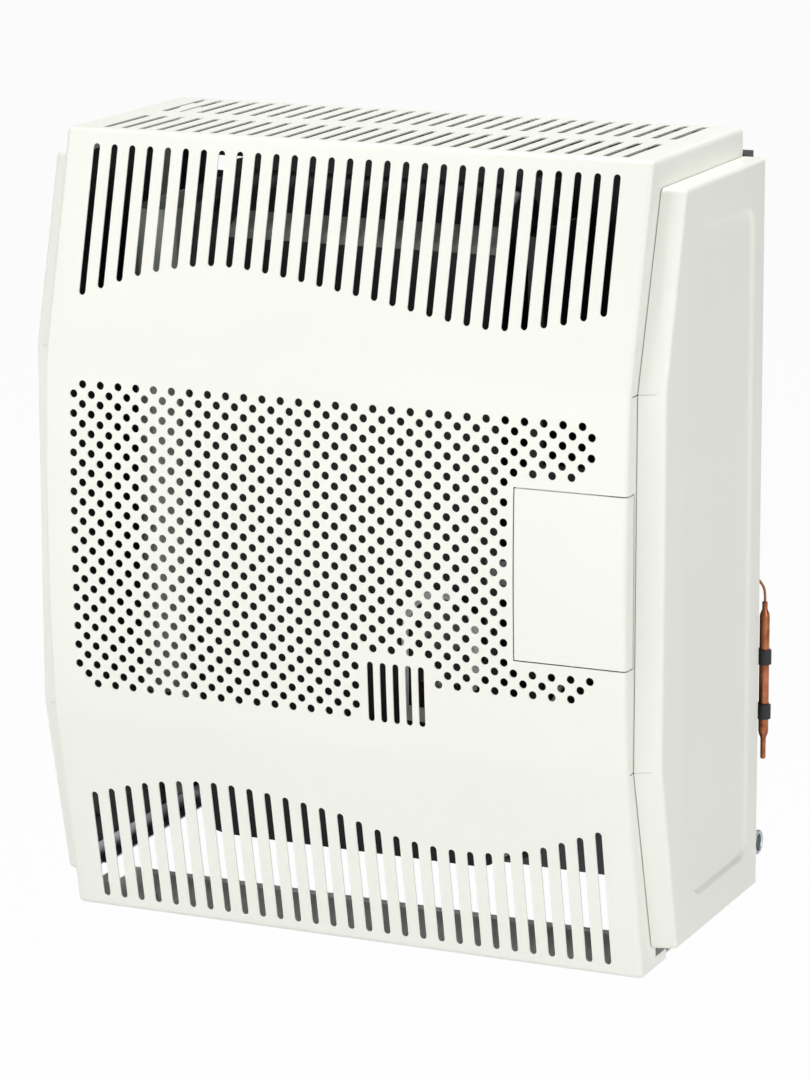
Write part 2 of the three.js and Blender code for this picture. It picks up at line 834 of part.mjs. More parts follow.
// ---------------------------------------------------------------- side panels

// Outline of a side panel in (y, z); the slant carries its inner edge further forward
function panelLoop(inset, slant, endSlant) {
  const rear = casingRearY;
  const corners = [
    [rear, panelTop],
    [rear - panelTopDepth - endSlant, panelTop, 6, 2],
    [rear - panelUpperDepth - slant, upperFold, 40, 1],
    [rear - panelLowerDepth - slant, lowerFold, 40, 1],
    [rear - panelBottomDepth - endSlant, panelBottom, 6, 2],
    [rear, panelBottom],
  ];
  const loop = roundedLoop(corners);
  return inset > 0 ? insetLoop(loop, inset) : loop;
}

// Outline of the recessed field, grown outwards by a distance
function recessLoop(grow) {
  const rear = casingRearY - recessRear;
  const corners = [
    [rear, panelTop - recessTop, recessCorner, 2],
    [casingRearY - panelTopDepth + recessFrontAtEnds, panelTop - recessTop, recessCorner, 2],
    [casingRearY - panelUpperDepth + recessFrontAtFolds, upperFold, 40, 1],
    [casingRearY - panelLowerDepth + recessFrontAtFolds, lowerFold, 40, 1],
    [casingRearY - panelBottomDepth + recessFrontAtEnds, panelBottom + recessBottom, recessCorner, 2],
    [rear, panelBottom + recessBottom, recessCorner, 2],
  ];
  return insetLoop(roundedLoop(corners), -grow);
}

function sidewaysLoft(sections, side) {
  const placed = sections.map(({ x, loop }) => ({ at: side * x, loop }));
  placed.sort((a, b) => a.at - b.at);
  return loft(placed, lyingAlongX);
}

function sidePanel(side) {
  const outer = sidewaysLoft([
    { x: panelInnerX, loop: panelLoop(0, panelSlant, panelEndSlant) },
    { x: panelOuterX - panelEdgeRadius, loop: panelLoop(0, 0, 0) },
    { x: panelOuterX - panelEdgeRadius * 0.3, loop: panelLoop(panelEdgeRadius * 0.3, 0, 0) },
    { x: panelOuterX, loop: panelLoop(panelEdgeRadius, 0, 0) },
  ], side);
  const hollow = sidewaysLoft([
    { x: panelInnerX - 1, loop: panelLoop(panelSheet, panelSlant, panelEndSlant) },
    { x: panelOuterX - panelEdgeRadius, loop: panelLoop(panelSheet, 0, 0) },
    { x: panelOuterX - panelSheet, loop: panelLoop(panelEdgeRadius, 0, 0) },
  ], side);
  const recess = sidewaysLoft([
    { x: panelOuterX - recessDepth, loop: recessLoop(0) },
    { x: panelOuterX + recessDepth, loop: recessLoop(2 * recessWall) },
  ], side);
  const recessBack = sidewaysLoft([
    { x: panelOuterX - recessDepth - panelSheet, loop: recessLoop(panelSheet) },
    { x: panelOuterX + recessDepth - panelSheet, loop: recessLoop(2 * recessWall + panelSheet) },
  ], side);
  return cut(outer, cut(hollow, recessBack), recess);
}

addPiece('side_panel_left', sidePanel(-1), ivoryPaint);
addPiece('side_panel_right', sidePanel(1), ivoryPaint);

// ---------------------------------------------------------------- wall plate and frame

// A shallow tray against the wall, with a hole for the flue and two slots to hang it by
function backPlate() {
  const front = casingRearY + clearance;
  const block = box(-plateHalfWidth, plateHalfWidth, front, 0, plateBottom, plateTop);
  const inside = box(
    plateSheet - plateHalfWidth, plateHalfWidth - plateSheet,
    front - 5, -plateSheet,
    plateBottom - 5, plateTop - plateSheet,
  );
  const flueHole = ringY(flueX, flueZ, collarRadius + clearance, 0, -10, 5, largeSides);
  const hangSlots = [-1, 1].map((side) => box(
    side * hangSlotMiddle - hangSlotWidth / 2, side * hangSlotMiddle + hangSlotWidth / 2,
    -10, 5,
    hangSlotBottom, hangSlotBottom + hangSlotHeight,
  ));
  const inletHole = prismX(
    circle(inletY, inletZ, inletPipeRadius + 2, mediumSides),
    plateHalfWidth - 5, plateHalfWidth + 5,
  );
  const capillaryHole = prismX(
    circle(bulbY, capillaryExitZ, capillaryRadius + 1, smallSides),
    plateHalfWidth - 5, plateHalfWidth + 5,
  );
  const notches = [-1, 1].map((side) => {
    const inner = side * (plateHalfWidth - plateNotchWidth);
    const outer = side * (plateHalfWidth + 1);
    return box(
      Math.min(inner, outer), Math.max(inner, outer), front - 1, 1, plateBottom - 1, plateNotchTop,
    );
  });
  return cut(block, inside, flueHole, ...hangSlots, ...notches, inletHole, capillaryHole);
}

// The upper rail, whose ledge the top of the casing rests on
function hangingRail() {
  const back = railBackY;
  const top = casingHeight - casingSheet - clearance;
  const line = [
    [back, top - hangingRailWeb], [back, top - hangingRailDrop],
    [casingRearY - 2, top], [casingRearY - hangingRailLedge, top],
  ];
  return prismX(stripLoop(line, frameSheet), -hangingRailHalfWidth, hangingRailHalfWidth);
}

// An angle section that runs forward from the wall plate along one side of the casing's foot
function frameArm(side) {
  const outer = halfWidth - armInset;
  const corners = [
    [outer, armLow], [outer, armLow + armHeight],
    [outer - frameSheet, armLow + armHeight], [outer - frameSheet, armLow + frameSheet],
    [outer - armLedge, armLow + frameSheet], [outer - armLedge, armLow],
  ];
  const loop = corners.map(([x, z]) => [side * x, z]);
  const ledgeFront = side * (outer - frameSheet);
  const ledgeEnd = side * (outer - armLedge - 1);
  const tabSpace = box(
    Math.min(ledgeFront, ledgeEnd), Math.max(ledgeFront, ledgeEnd),
    armFrontY - 1, armFrontY + armTabDepth + clearance, armLow - 1, armLow + 2 * frameSheet,
  );
  return cut(prismY(loop, armFrontY, plateFrontY - clearance), tabSpace);
}

// The rail across the foot of the casing, with tabs at its ends that stand against the arms
function baseRail() {
  const low = casingSheet + clearance;
  const rear = armFrontY + baseRailDepth;
  const line = [[armFrontY, low], [rear, low], [rear, low + baseRailLip]];
  const reach = halfWidth - armInset - frameSheet - clearance;
  const rail = prismX(stripLoop(line, frameSheet), -reach, reach);
  const tabs = [-1, 1].map((side) => {
    const inner = side * (reach - frameSheet);
    const outer = side * reach;
    return box(
      Math.min(inner, outer), Math.max(inner, outer), armFrontY, armFrontY + armTabDepth,
      low + frameSheet / 2, armLow + armHeight - frameSheet,
    );
  });
  return cut(join(rail, ...tabs), ...screwHoles(screwShank + clearance));
}

function casingScrew(side) {
  const profile = [
    [0, -clearance - screwHeadHeight], [screwHead * 0.7, -clearance - screwHeadHeight],
    [screwHead, -clearance], [screwShank, -clearance], [screwShank, screwLength], [0, screwLength],
  ];
  const points = profile.map(([radius, z]) => new THREE.Vector2(radius, z));
  const geometry = new THREE.LatheGeometry(points, smallSides);
  return geometry.rotateX(Math.PI / 2).translate(side * casingScrewX, armFrontY + 10, 0);
}

addPiece('back_plate', cut(backPlate(), railPassage()), darkSteel);
addPiece('hanging_rail', hangingRail(), galvanised);
addPiece('frame_arm_left', frameArm(-1), galvanised);
addPiece('frame_arm_right', frameArm(1), galvanised);
addPiece('base_rail', baseRail(), galvanised);
addPiece('casing_screw_left', casingScrew(-1), galvanised);
addPiece('casing_screw_right', casingScrew(1), galvanised);

// The slot in the wall plate's top shelf that the hanging rail stands through
function railPassage() {
  const reach = hangingRailHalfWidth + clearance;
  return box(
    -reach, reach,
    railBackY - frameSheet - clearance, railBackY + clearance,
    plateTop - 2 * plateSheet, plateTop + 1,
  );
}

// ---------------------------------------------------------------- combustion chamber

function chamberLoop(grow, top) {
  return roundedRectangle(
    chamberLeft - grow, chamberRight + grow, chamberBottom - grow, top + grow,
    chamberCorner + grow, 3,
  );
}

function depthLoft(sections) {
  const placed = sections.map(({ y, loop }) => ({ at: -y, loop }));
  placed.sort((a, b) => a.at - b.at);
  return loft(placed, lyingAlongY);
}

const splitFront = -chamberSplit - gasketThickness / 2 - clearance;
const splitRear = -chamberSplit + gasketThickness / 2 + clearance;

// The front shell: its top slopes forward from the flange down to the front face
function chamberFrontShell() {
  const wall = chamberSheet;
  const outer = depthLoft([
    { y: -chamberFront, loop: chamberLoop(-chamberDraft, chamberFrontTop) },
    { y: splitFront, loop: chamberLoop(0, chamberTop) },
  ]);
  const inner = depthLoft([
    { y: -chamberFront + wall, loop: chamberLoop(-chamberDraft - wall, chamberFrontTop) },
    { y: splitFront + 1, loop: chamberLoop(-wall, chamberTop) },
  ]);
  const flange = prismY(chamberLoop(chamberFlange, chamberTop), splitFront - wall, splitFront);
  const accessHole = prismY(
    archLoop(accessHalfWidth - accessHoleInset, accessBottom + accessHoleInset, sightRadius + 4),
    -chamberFront - 5, -chamberFront + 5,
  );
  const injectorHole = prismX(
    circle(burnerY, burnerZ, injectorRadius + clearance, mediumSides),
    chamberRight - 10, chamberRight + 5,
  );
  return cut(join(outer, flange), inner, accessHole, injectorHole);
}

function chamberRearShell() {
  const wall = chamberSheet;
  const outer = depthLoft([
    { y: splitRear, loop: chamberLoop(0, chamberTop) },
    { y: -chamberRear, loop: chamberLoop(-chamberDraft, chamberTop) },
  ]);
  const inner = depthLoft([
    { y: splitRear - 1, loop: chamberLoop(-wall, chamberTop) },
    { y: -chamberRear - wall, loop: chamberLoop(-chamberDraft - wall, chamberTop) },
  ]);
  const flange = prismY(chamberLoop(chamberFlange, chamberTop), splitRear, splitRear + wall);
  const exhaustHole = ringY(
    flueX, flueZ, exhaustRadius + clearance, 0, -chamberRear - 5, -chamberRear + 5, largeSides,
  );
  const airRing = (exhaustRadius + collarRadius - collarWall) / 2;
  const airHoles = circle(flueX, flueZ, airRing, airHoleCount).map(([x, z]) => (
    ringY(x, z, airHoleRadius, 0, -chamberRear - 5, -chamberRear + 5, 6)
  ));
  return cut(join(outer, flange), inner, exhaustHole, ...airHoles);
}

function chamberGasket() {
  const half = gasketThickness / 2;
  return prismY(
    chamberLoop(chamberFlange - 1, chamberTop), -chamberSplit - half, -chamberSplit + half,
    [chamberLoop(0.5, chamberTop)],
  );
}

// A channel of hat section between the wall plate and the chamber's rear face
function chamberMount(x) {
  const half = chamberMountWidth / 2;
  const back = plateFrontY - clearance;
  const front = -chamberRear + clearance + frameSheet;
  const line = [
    [x - half - chamberMountFoot, back], [x - half, back], [x - half, front],
    [x + half, front], [x + half, back], [x + half + chamberMountFoot, back],
  ];
  return prismZ(stripLoop(line, -frameSheet), chamberMountLow, chamberMountHigh);
}

// A bright strip along the lower edge of the chamber's sloping top, with a lip at its front
function topDeflector() {
  const run = chamberFront + splitFront;
  const rise = chamberTop - chamberFrontTop + chamberDraft;
  const slope = new THREE.Vector2(run, rise).normalize();
  const up = new THREE.Vector2(-slope.y, slope.x).multiplyScalar(clearance + 0.05);
  const start = new THREE.Vector2(-chamberFront, chamberFrontTop - chamberDraft).add(up);
  const end = start.clone().addScaledVector(slope, deflectorWidth);
  const lip = [start.x - 0.4 - deflectorLip * 0.2, start.y - deflectorLip];
  const line = [lip, [start.x - 0.4, start.y], [end.x, end.y]];
  return prismX(
    stripLoop(line, shieldSheet),
    chamberLeft + deflectorLeftInset, chamberRight - deflectorRightInset,
  );
}

addPiece('chamber_front_shell', chamberFrontShell(), blackEnamel);
addPiece('chamber_rear_shell', chamberRearShell(), blackEnamel);
addPiece('chamber_gasket', chamberGasket(), fibreGasket);
addPiece('chamber_mount_left', chamberMount(flueX - 65), galvanised);
addPiece('chamber_mount_right', chamberMount(flueX + 65), galvanised);
addPiece('top_deflector', topDeflector(), galvanised);

// ---------------------------------------------------------------- flue

function exhaustSpigot() {
  const inner = exhaustRadius - exhaustWall;
  return ringY(flueX, flueZ, exhaustRadius, inner, -exhaustLength, -clearance, largeSides);
}

function flueGasket() {
  const front = -chamberRear + clearance;
  const outer = collarRadius + collarFlange - 1;
  return ringY(flueX, flueZ, outer, collarRadius - collarWall, front, front + 1.2, largeSides);
}

// The air collar: a ring with a flange that seals on the chamber
function airCollar() {
  const front = -chamberRear + 2 * clearance + 1.2;
  const tube = ringY(flueX, flueZ, collarRadius, 0, front, -clearance, largeSides);
  const flange = ringY(flueX, flueZ, collarRadius + collarFlange, 0, front, front + 2, largeSides);
  const bore = ringY(flueX, flueZ, collarRadius - collarWall, 0, front - 1, 1, largeSides);
  return cut(join(tube, flange), bore);
}

addPiece('exhaust_spigot', exhaustSpigot(), galvanised);
addPiece('flue_gasket', flueGasket(), fibreGasket);
addPiece('air_collar', airCollar(), castAluminium);

// ---------------------------------------------------------------- access plate and sight glass

// An arch: a rectangle with a half round top, in (x, z)
function archLoop(half, bottom, radius) {
  const top = sightZ + Math.max(radius - half, 0);
  const steps = 8;
  const loop = [[sightX + half, bottom]];
  for (let k = 0; k <= steps; k += 1) {
    const angle = (Math.PI * k) / steps;
    loop.push([sightX + half * Math.cos(angle), top + half * Math.sin(angle)]);
  }
  loop.push([sightX - half, bottom]);
  return loop;
}

const accessBackY = -chamberFront - clearance;
const accessFrontY = accessBackY - accessSheet;
const glassBackY = accessFrontY - clearance;
const glassFrontY = glassBackY - glassThickness;
const pilotPlaces = [-1, 0, 1].map((step) => sightX + step * pilotSpacing);

function accessPlate() {
  const holes = [circle(sightX, sightZ, sightRadius, mediumSides)];
  for (const x of pilotPlaces) holes.push(circle(x, pilotRowZ, 3.5 + clearance, smallSides));
  return prismY(archLoop(accessHalfWidth, accessBottom, 0), accessFrontY, accessBackY, holes);
}

// The frame that clamps the glass: an arched plate with a round hole over the glass, a window for
// the pilot row between its legs, and a collar and a foot that stand on the access plate
function sightFrame() {
  const front = glassFrontY - clearance;
  const windowTop = sightZ - glassRadius - 3;
  const sightHole = circle(sightX, sightZ, sightRadius - 1, mediumSides);
  const window = rectangle(
    sightX - sightFrameHalfWidth + sightFrameLeg, sightX + sightFrameHalfWidth - sightFrameLeg,
    sightFrameBottom + sightFrameBar, windowTop,
  );
  const plate = prismY(
    archLoop(sightFrameHalfWidth, sightFrameBottom, 0), front - sightFrameSheet, front,
    [sightHole, window],
  );
  const collar = ringY(
    sightX, sightZ, glassRadius + 2 + clearance, glassRadius + clearance,
    front - 1, glassBackY, mediumSides,
  );
  const foot = box(
    sightX - sightFrameHalfWidth + 1, sightX + sightFrameHalfWidth - 1, front - 1, glassBackY,
    sightFrameBottom + 1, sightFrameBottom + 1 + sightFrameSheet,
  );
  return join(plate, collar, foot);
}

addPiece('access_plate', accessPlate(), castAluminium);
addPiece('sight_glass', ringY(
  sightX, sightZ, glassRadius, 0, glassFrontY, glassBackY, mediumSides,
), sightGlassFinish);
addPiece('sight_frame', sightFrame(), galvanised);

// ---------------------------------------------------------------- burner and pilot

// The burner: a closed tube with a row of ports along its top and an open mixing end
function mainBurner() {
  const left = chamberLeft + 22;
  const right = chamberRight - 24;
  const tube = prismX(circle(burnerY, burnerZ, burnerRadius, mediumSides), left, right);
  const bore = prismX(
    circle(burnerY, burnerZ, burnerRadius - burnerWall, mediumSides), left + 2, right + 1,
  );
  const spacing = (right - left - 40) / (burnerPortCount - 1);
  const ports = Array.from({ length: burnerPortCount }, (_, k) => {
    const x = left + 16 + k * spacing;
    return box(
      x, x + burnerPortWidth, burnerY - 8, burnerY + 8,
      burnerZ + burnerRadius * 0.6, burnerZ + burnerRadius + 5,
    );
  });
  return cut(tube, bore, ...ports);
}

// Height of the front shell's sloping floor at a depth
function chamberFloor(y) {
  const share = (splitFront - y) / (splitFront + chamberFront);
  return chamberBottom + chamberSheet + chamberDraft * share;
}

// Two saddles hold the burner on the chamber's floor
function burnerSaddle(x) {
  const floor = chamberFloor(burnerY - 14) + clearance;
  const low = burnerZ - burnerRadius - clearance;
  const loop = [
    [burnerY - 14, floor], [burnerY + 14, floor], [burnerY + 14, floor + 2],
    [burnerY + 6, floor + 2], [burnerY + 6, low], [burnerY - 6, low],
    [burnerY - 6, floor + 2], [burnerY - 14, floor + 2],
  ];
  return prismX(loop, x, x + 8);
}

// A brass injector through the chamber's side, with a hexagon outside
function injector() {
  const wall = chamberRight;
  const body = prismX(circle(burnerY, burnerZ, injectorRadius, mediumSides), wall - 24, wall + 4);
  const hexagon = prismX(circle(burnerY, burnerZ, injectorHex, 6), wall + 0.8, wall + injectorHexEnd);
  return join(body, hexagon);
}

// The pilot burner, the spark electrode and the thermocouple stand side by side in the plate
function pilotBurner(x) {
  const profile = [
    [0, accessFrontY - fittingLength], [3.2, accessFrontY - fittingLength], [3.2, accessBackY + 14],
    [5, accessBackY + 16], [5, accessBackY + 26], [0, accessBackY + 26],
  ];
  return turnedY(x, pilotRowZ, profile, smallSides);
}

function electrode(x) {
  const profile = [
    [0, accessFrontY - sparkTail], [2.6, accessFrontY - sparkTail + 2], [3.4, accessBackY + 3],
    [2.4, accessBackY + 12], [1, accessBackY + 14], [1, accessBackY + 24], [0, accessBackY + 24],
  ];
  return turnedY(x, pilotRowZ, profile, smallSides);
}

function thermocouple(x) {
  const profile = [
    [0, accessFrontY - fittingLength], [3.4, accessFrontY - fittingLength], [3.4, accessFrontY - 2],
    [2.8, accessBackY + 8], [2.2, accessBackY + 30], [0, accessBackY + 31],
  ];
  return turnedY(x, pilotRowZ, profile, smallSides);
}

addPiece('main_burner', mainBurner(), galvanised);
addPiece('burner_saddle_left', burnerSaddle(chamberLeft + 40), galvanised);
addPiece('burner_saddle_right', burnerSaddle(chamberRight - 60), galvanised);
addPiece('injector', injector(), brass);
addPiece('thermocouple', thermocouple(pilotPlaces[0]), copper);
addPiece('spark_electrode', electrode(pilotPlaces[1]), whiteCeramic);
addPiece('pilot_burner', pilotBurner(pilotPlaces[2]), brass);

// ---------------------------------------------------------------- heat shields

// The left shield wraps round a vertical air duct between the chamber and the casing's side
function heatShieldLeft() {
  const back = plateFrontY - clearance;
  const radius = (shieldLeftInner - shieldLeftOuter) / 2;
  const middle = (shieldLeftInner + shieldLeftOuter) / 2;
  const nose = [];
  const steps = 6;
  for (let k = 0; k <= steps; k += 1) {
    const angle = Math.PI + (Math.PI * k) / steps;
    nose.push([middle + radius * Math.cos(angle), radius - shieldFront + radius * Math.sin(angle)]);
  }
  const line = [[shieldLeftOuter - 16, back], [shieldLeftOuter, back], ...nose];
  line.push([shieldLeftInner, -chamberSplit + 30]);
  return prismZ(stripLoop(line, -shieldSheet), shieldBottom, shieldTop);
}

function heatShieldRight() {
  const back = plateFrontY - clearance;
  const line = [
    [shieldRightX + 16, back], [shieldRightX, back],
    [shieldRightX, -shieldRightFront], [shieldRightX + 12, -shieldRightFront],
  ];
  return prismZ(stripLoop(line, shieldSheet), shieldRightBottom, shieldRightTop);
}

addPiece('heat_shield_left', heatShieldLeft(), galvanised);
addPiece('heat_shield_right', heatShieldRight(), darkSteel);

// ---------------------------------------------------------------- controls

const panelBackY = controlPanelY + controlSheet;
const valveFrontY = panelBackY + clearance;
const valveMiddleY = valveFrontY + valveDepth / 2;

// A bent plate from the wall plate forward, whose front carries the valve and the igniter
function controlBracket() {
  const right = halfWidth - armInset;
  const line = [
    [controlPanelLeft, controlPanelY + 8], [controlPanelLeft, controlPanelY],
    [right, controlPanelY], [right, plateFrontY - clearance], [right - 16, plateFrontY - clearance],
  ];
  const body = prismZ(stripLoop(line, controlSheet), controlPanelBottom, controlPanelTop);
  const spindleHole = ringY(
    controlX, knobZ, spindleRadius + 5, 0, controlPanelY - 5, controlPanelY + 5, mediumSides,
  );
  const igniterHole = ringY(
    controlX, igniterZ, igniterRadius + clearance, 0, controlPanelY - 5, controlPanelY + 5,
    mediumSides,
  );
  const capillaryHole = prismX(
    circle(bulbY, capillaryExitZ, capillaryRadius + 1, smallSides), right - 5, right + 5,
  );
  return cut(body, spindleHole, igniterHole, capillaryHole);
}

// The cast gas valve: a chamfered block with a boss for the spindle and a bore inside it
function gasValve() {
  const left = controlX - valveWidth / 2;
  const right = controlX + valveWidth / 2;
  const block = roundedRectangle(left, right, valveBottom, valveTop, 6, 1);
  const body = prismY(block, valveFrontY, valveFrontY + valveDepth);
  const boss = ringY(
    controlX, knobZ, spindleRadius + 4, 0, controlPanelY - 2, valveFrontY + 1, mediumSides,
  );
  const bore = ringY(
    controlX, knobZ, spindleRadius + clearance, 0,
    controlPanelY - 5, valveFrontY + spindleInValve + knobPress + 1, mediumSides,
  );
  const outlet = prismZ(
    circle(controlX - valvePortX, valveMiddleY, 8, 6), valveBottom - valvePortLength, valveBottom + 2,
  );
  const inlet = prismZ(
    circle(controlX + valvePortX, valveMiddleY, 9, 6), valveBottom - valvePortLength, valveBottom + 2,
  );
  return cut(join(body, boss, outlet, inlet), bore);
}

function valveSpindle() {
  const front = controlPanelY - spindleFront;
  const rear = valveFrontY + spindleInValve;
  return turnedY(controlX, knobZ, [
    [0, front], [spindleRadius - 1, front], [spindleRadius, front + 1],
    [spindleRadius, rear], [0, rear],
  ], mediumSides);
}

// The knob: a ribbed cap with a raised pointer bar and a blind bore for the spindle
function controlKnob() {
  const rear = controlPanelY - knobGap;
  const front = rear - knobDepth;
  const skirt = [];
  for (let k = 0; k < knobRibs * 2; k += 1) {
    const angle = (Math.PI * k) / knobRibs;
    const radius = k % 2 === 0 ? knobRadius : knobRadius - 1.5;
    skirt.push([controlX + radius * Math.cos(angle), knobZ + radius * Math.sin(angle)]);
  }
  const grip = prismY(skirt, front + 5, rear);
  const cap = turnedY(controlX, knobZ, [
    [0, front + 2], [knobRadius - 6, front + 2], [knobRadius - 3, front + 5.5], [0, front + 5.5],
  ], 24);
  const pointer = box(
    controlX - 2, controlX + 2, front, front + 3, knobZ - 3, knobZ + knobRadius - 5,
  );
  const bore = ringY(
    controlX, knobZ, spindleRadius + clearance, 0,
    controlPanelY - spindleFront - clearance, rear + 1, mediumSides,
  );
  return cut(join(grip, cap, pointer), bore);
}

// The igniter: a barrel through the control panel, held by a collar, with a sprung button
function igniterBody() {
  const front = controlPanelY - clearance - igniterNutThickness;
  const bore = buttonRadius + clearance;
  const barrel = ringY(
    controlX, igniterZ, igniterRadius, 0, front + 1, front + igniterLength, mediumSides,
  );
  const collar = ringY(
    controlX, igniterZ, igniterNut, 0, front, controlPanelY - clearance, mediumSides,
  );
  const hollow = ringY(
    controlX, igniterZ, bore, 0, front - 5, controlPanelY + buttonTravel + 9, mediumSides,
  );
  return cut(join(barrel, collar), hollow);
}

function igniterButton() {
  const front = controlPanelY - igniterNutThickness - buttonProud;
  return turnedY(controlX, igniterZ, [
    [0, front], [buttonRadius - 1.2, front], [buttonRadius, front + 1.2],
    [buttonRadius, controlPanelY + 6], [0, controlPanelY + 6],
  ], mediumSides);
}

addPiece('control_bracket', controlBracket(), darkSteel);
addPiece('gas_valve', gasValve(), castAluminium);
addPiece('valve_spindle', valveSpindle(), brass);
addPiece('control_knob', controlKnob(), blackPlastic);
addPiece('igniter_body', igniterBody(), blackPlastic);
addPiece('igniter_button', igniterButton(), ivoryPaint);

// ---------------------------------------------------------------- pipes and leads

const valveUnderside = valveBottom - valvePortLength - clearance;
const valveLeft = controlX - valveWidth / 2 - clearance;
const fittingEndY = accessFrontY - fittingLength - clearance;

function gasInlet() {
  const start = inletEndX - inletLength;
  const body = prismX(circle(inletY, inletZ, inletRadius, mediumSides), start + 6, inletEndX);
  const shank = prismX(circle(inletY, inletZ, inletPipeRadius + 1.6, mediumSides), start, start + 7);
  const bore = prismX(
    circle(inletY, inletZ, inletBore, mediumSides), inletEndX - inletBoreDepth, inletEndX + 1,
  );
  return cut(join(body, shank), bore);
}

function inletPipe() {
  const start = inletEndX - inletLength - clearance;
  return tubeAlong([
    [start, inletY, inletZ], [start - pipeStub, inletY, inletZ],
    ...supplyBends,
    [controlX + valvePortX, valveMiddleY, valveUnderside],
  ], inletPipeRadius, 8, 14);
}

function burnerPipe() {
  const end = chamberRight + injectorHexEnd + clearance;
  return tubeAlong([
    [controlX - valvePortX, valveMiddleY, valveUnderside],
    ...burnerPipeBends,
    [end + pipeStub, burnerY, burnerZ], [end, burnerY, burnerZ],
  ], burnerPipeRadius, 8, 12);
}

function pilotPipe() {
  const x = pilotPlaces[2];
  const y = valveMiddleY - fittingLength;
  return tubeAlong([
    [valveLeft, y, pilotPortZ], [valveLeft - leadStub, y, pilotPortZ],
    ...pilotPipeBends,
    [x, fittingEndY - leadStub, pilotRowZ], [x, fittingEndY, pilotRowZ],
  ], pilotPipeRadius, 6, 14);
}

function thermocoupleLead() {
  const x = pilotPlaces[0];
  const y = valveMiddleY - fittingLength;
  return tubeAlong([
    [valveLeft, y, thermocouplePortZ], [valveLeft - leadStub, y, thermocouplePortZ],
    ...thermocoupleBends,
    [x, fittingEndY - leadStub, pilotRowZ], [x, fittingEndY, pilotRowZ],
  ], thermocoupleLeadRadius, 5, 16);
}

function ignitionLead() {
  const rear = controlPanelY - igniterNutThickness + igniterLength;
  const x = pilotPlaces[1];
  const tip = accessFrontY - sparkTail - clearance;
  return tubeAlong([
    [controlX, rear, igniterZ], [controlX, rear + 2 * leadStub, igniterZ],
    ...ignitionBends,
    [x, tip - leadStub, pilotRowZ], [x, tip, pilotRowZ],
  ], ignitionLeadRadius, 5, 16);
}

addPiece('gas_inlet', gasInlet(), galvanised);
addPiece('inlet_pipe', inletPipe(), copper);
addPiece('burner_pipe', burnerPipe(), copper);
addPiece('pilot_pipe', pilotPipe(), copper);
addPiece('thermocouple_lead', thermocoupleLead(), copper);
addPiece('ignition_lead', ignitionLead(), leadSleeve);

// ---------------------------------------------------------------- thermostat bulb

function capillary() {
  const rear = valveFrontY + valveDepth + clearance;
  const portX = controlX + 2 * leadStub;
  return tubeAlong([
    [portX, rear, capillaryPortZ], [portX, rear + 2 * leadStub, capillaryPortZ],
    ...capillaryBends,
    [plateHalfWidth, bulbY, capillaryExitZ], [bulbX - 8, bulbY, capillaryExitZ - 1],
    [bulbX - 1.6, bulbY, bulbNeckEnd + 12], [bulbX, bulbY, bulbNeckEnd + 5],
    [bulbX, bulbY, bulbNeckEnd + clearance],
  ], capillaryRadius, 5, 26);
}

function sensorBulb() {
  const profile = [
    [0, bulbTailEnd], [bulbTailRadius, bulbTailEnd + 1], [bulbTailRadius, bulbLow - 4],
    [bulbRadius, bulbLow], [bulbRadius, bulbHigh], [bulbTailRadius, bulbHigh + 4],
    [bulbTailRadius, bulbNeckEnd], [0, bulbNeckEnd],
  ];
  const points = profile.map(([radius, z]) => new THREE.Vector2(radius, z));
  return new THREE.LatheGeometry(points, 12).rotateX(Math.PI / 2).translate(bulbX, bulbY, 0);
}

// A spring clip: an open ring round the bulb on a stem that stands on the wall plate's side
function bulbClip(bottom) {
  const inner = bulbRadius + clearance;
  const outer = inner + clipThickness;
  const ring = prismZ(
    circle(bulbX, bulbY, outer, mediumSides), bottom, bottom + clipHeight,
    [circle(bulbX, bulbY, inner, mediumSides)],
  );
  const stem = box(
    plateHalfWidth + clearance, bulbX - inner - 0.4, bulbY - 2, bulbY + 2,
    bottom, bottom + clipHeight,
  );
  const mouth = box(
    bulbX + 1, bulbX + outer + 1, bulbY, bulbY + 2.4, bottom - 1, bottom + clipHeight + 1,
  );
  return cut(join(ring, stem), mouth);
}

addPiece('capillary', capillary(), copper);
addPiece('sensor_bulb', sensorBulb(), copper);
addPiece('bulb_clip_upper', bulbClip(clipHeights[0]), blackPlastic);
addPiece('bulb_clip_lower', bulbClip(clipHeights[1]), blackPlastic);

export default heater;
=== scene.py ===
import json
import math

import bmesh
import bpy
from mathutils import Matrix, Vector


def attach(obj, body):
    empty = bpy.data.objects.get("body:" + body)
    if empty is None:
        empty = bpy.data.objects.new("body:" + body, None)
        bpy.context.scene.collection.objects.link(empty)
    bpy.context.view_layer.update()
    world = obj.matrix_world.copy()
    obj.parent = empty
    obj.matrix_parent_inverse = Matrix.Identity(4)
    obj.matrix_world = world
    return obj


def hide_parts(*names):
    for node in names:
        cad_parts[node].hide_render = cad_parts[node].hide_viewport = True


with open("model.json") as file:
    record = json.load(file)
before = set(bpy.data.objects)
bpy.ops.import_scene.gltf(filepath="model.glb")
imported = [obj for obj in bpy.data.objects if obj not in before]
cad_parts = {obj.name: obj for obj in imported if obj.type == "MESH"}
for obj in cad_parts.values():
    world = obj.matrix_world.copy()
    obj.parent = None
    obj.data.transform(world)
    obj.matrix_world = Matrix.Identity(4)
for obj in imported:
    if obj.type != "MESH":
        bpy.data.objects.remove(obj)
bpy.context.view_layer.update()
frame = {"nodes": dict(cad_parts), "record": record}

# Shapes are written in millimetres, with z = 0 at the casing's lower edge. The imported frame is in
# metres, with its origin DROP above that edge.
MM = 0.001
DROP = 305

# ---------------------------------------------------------------- sizes

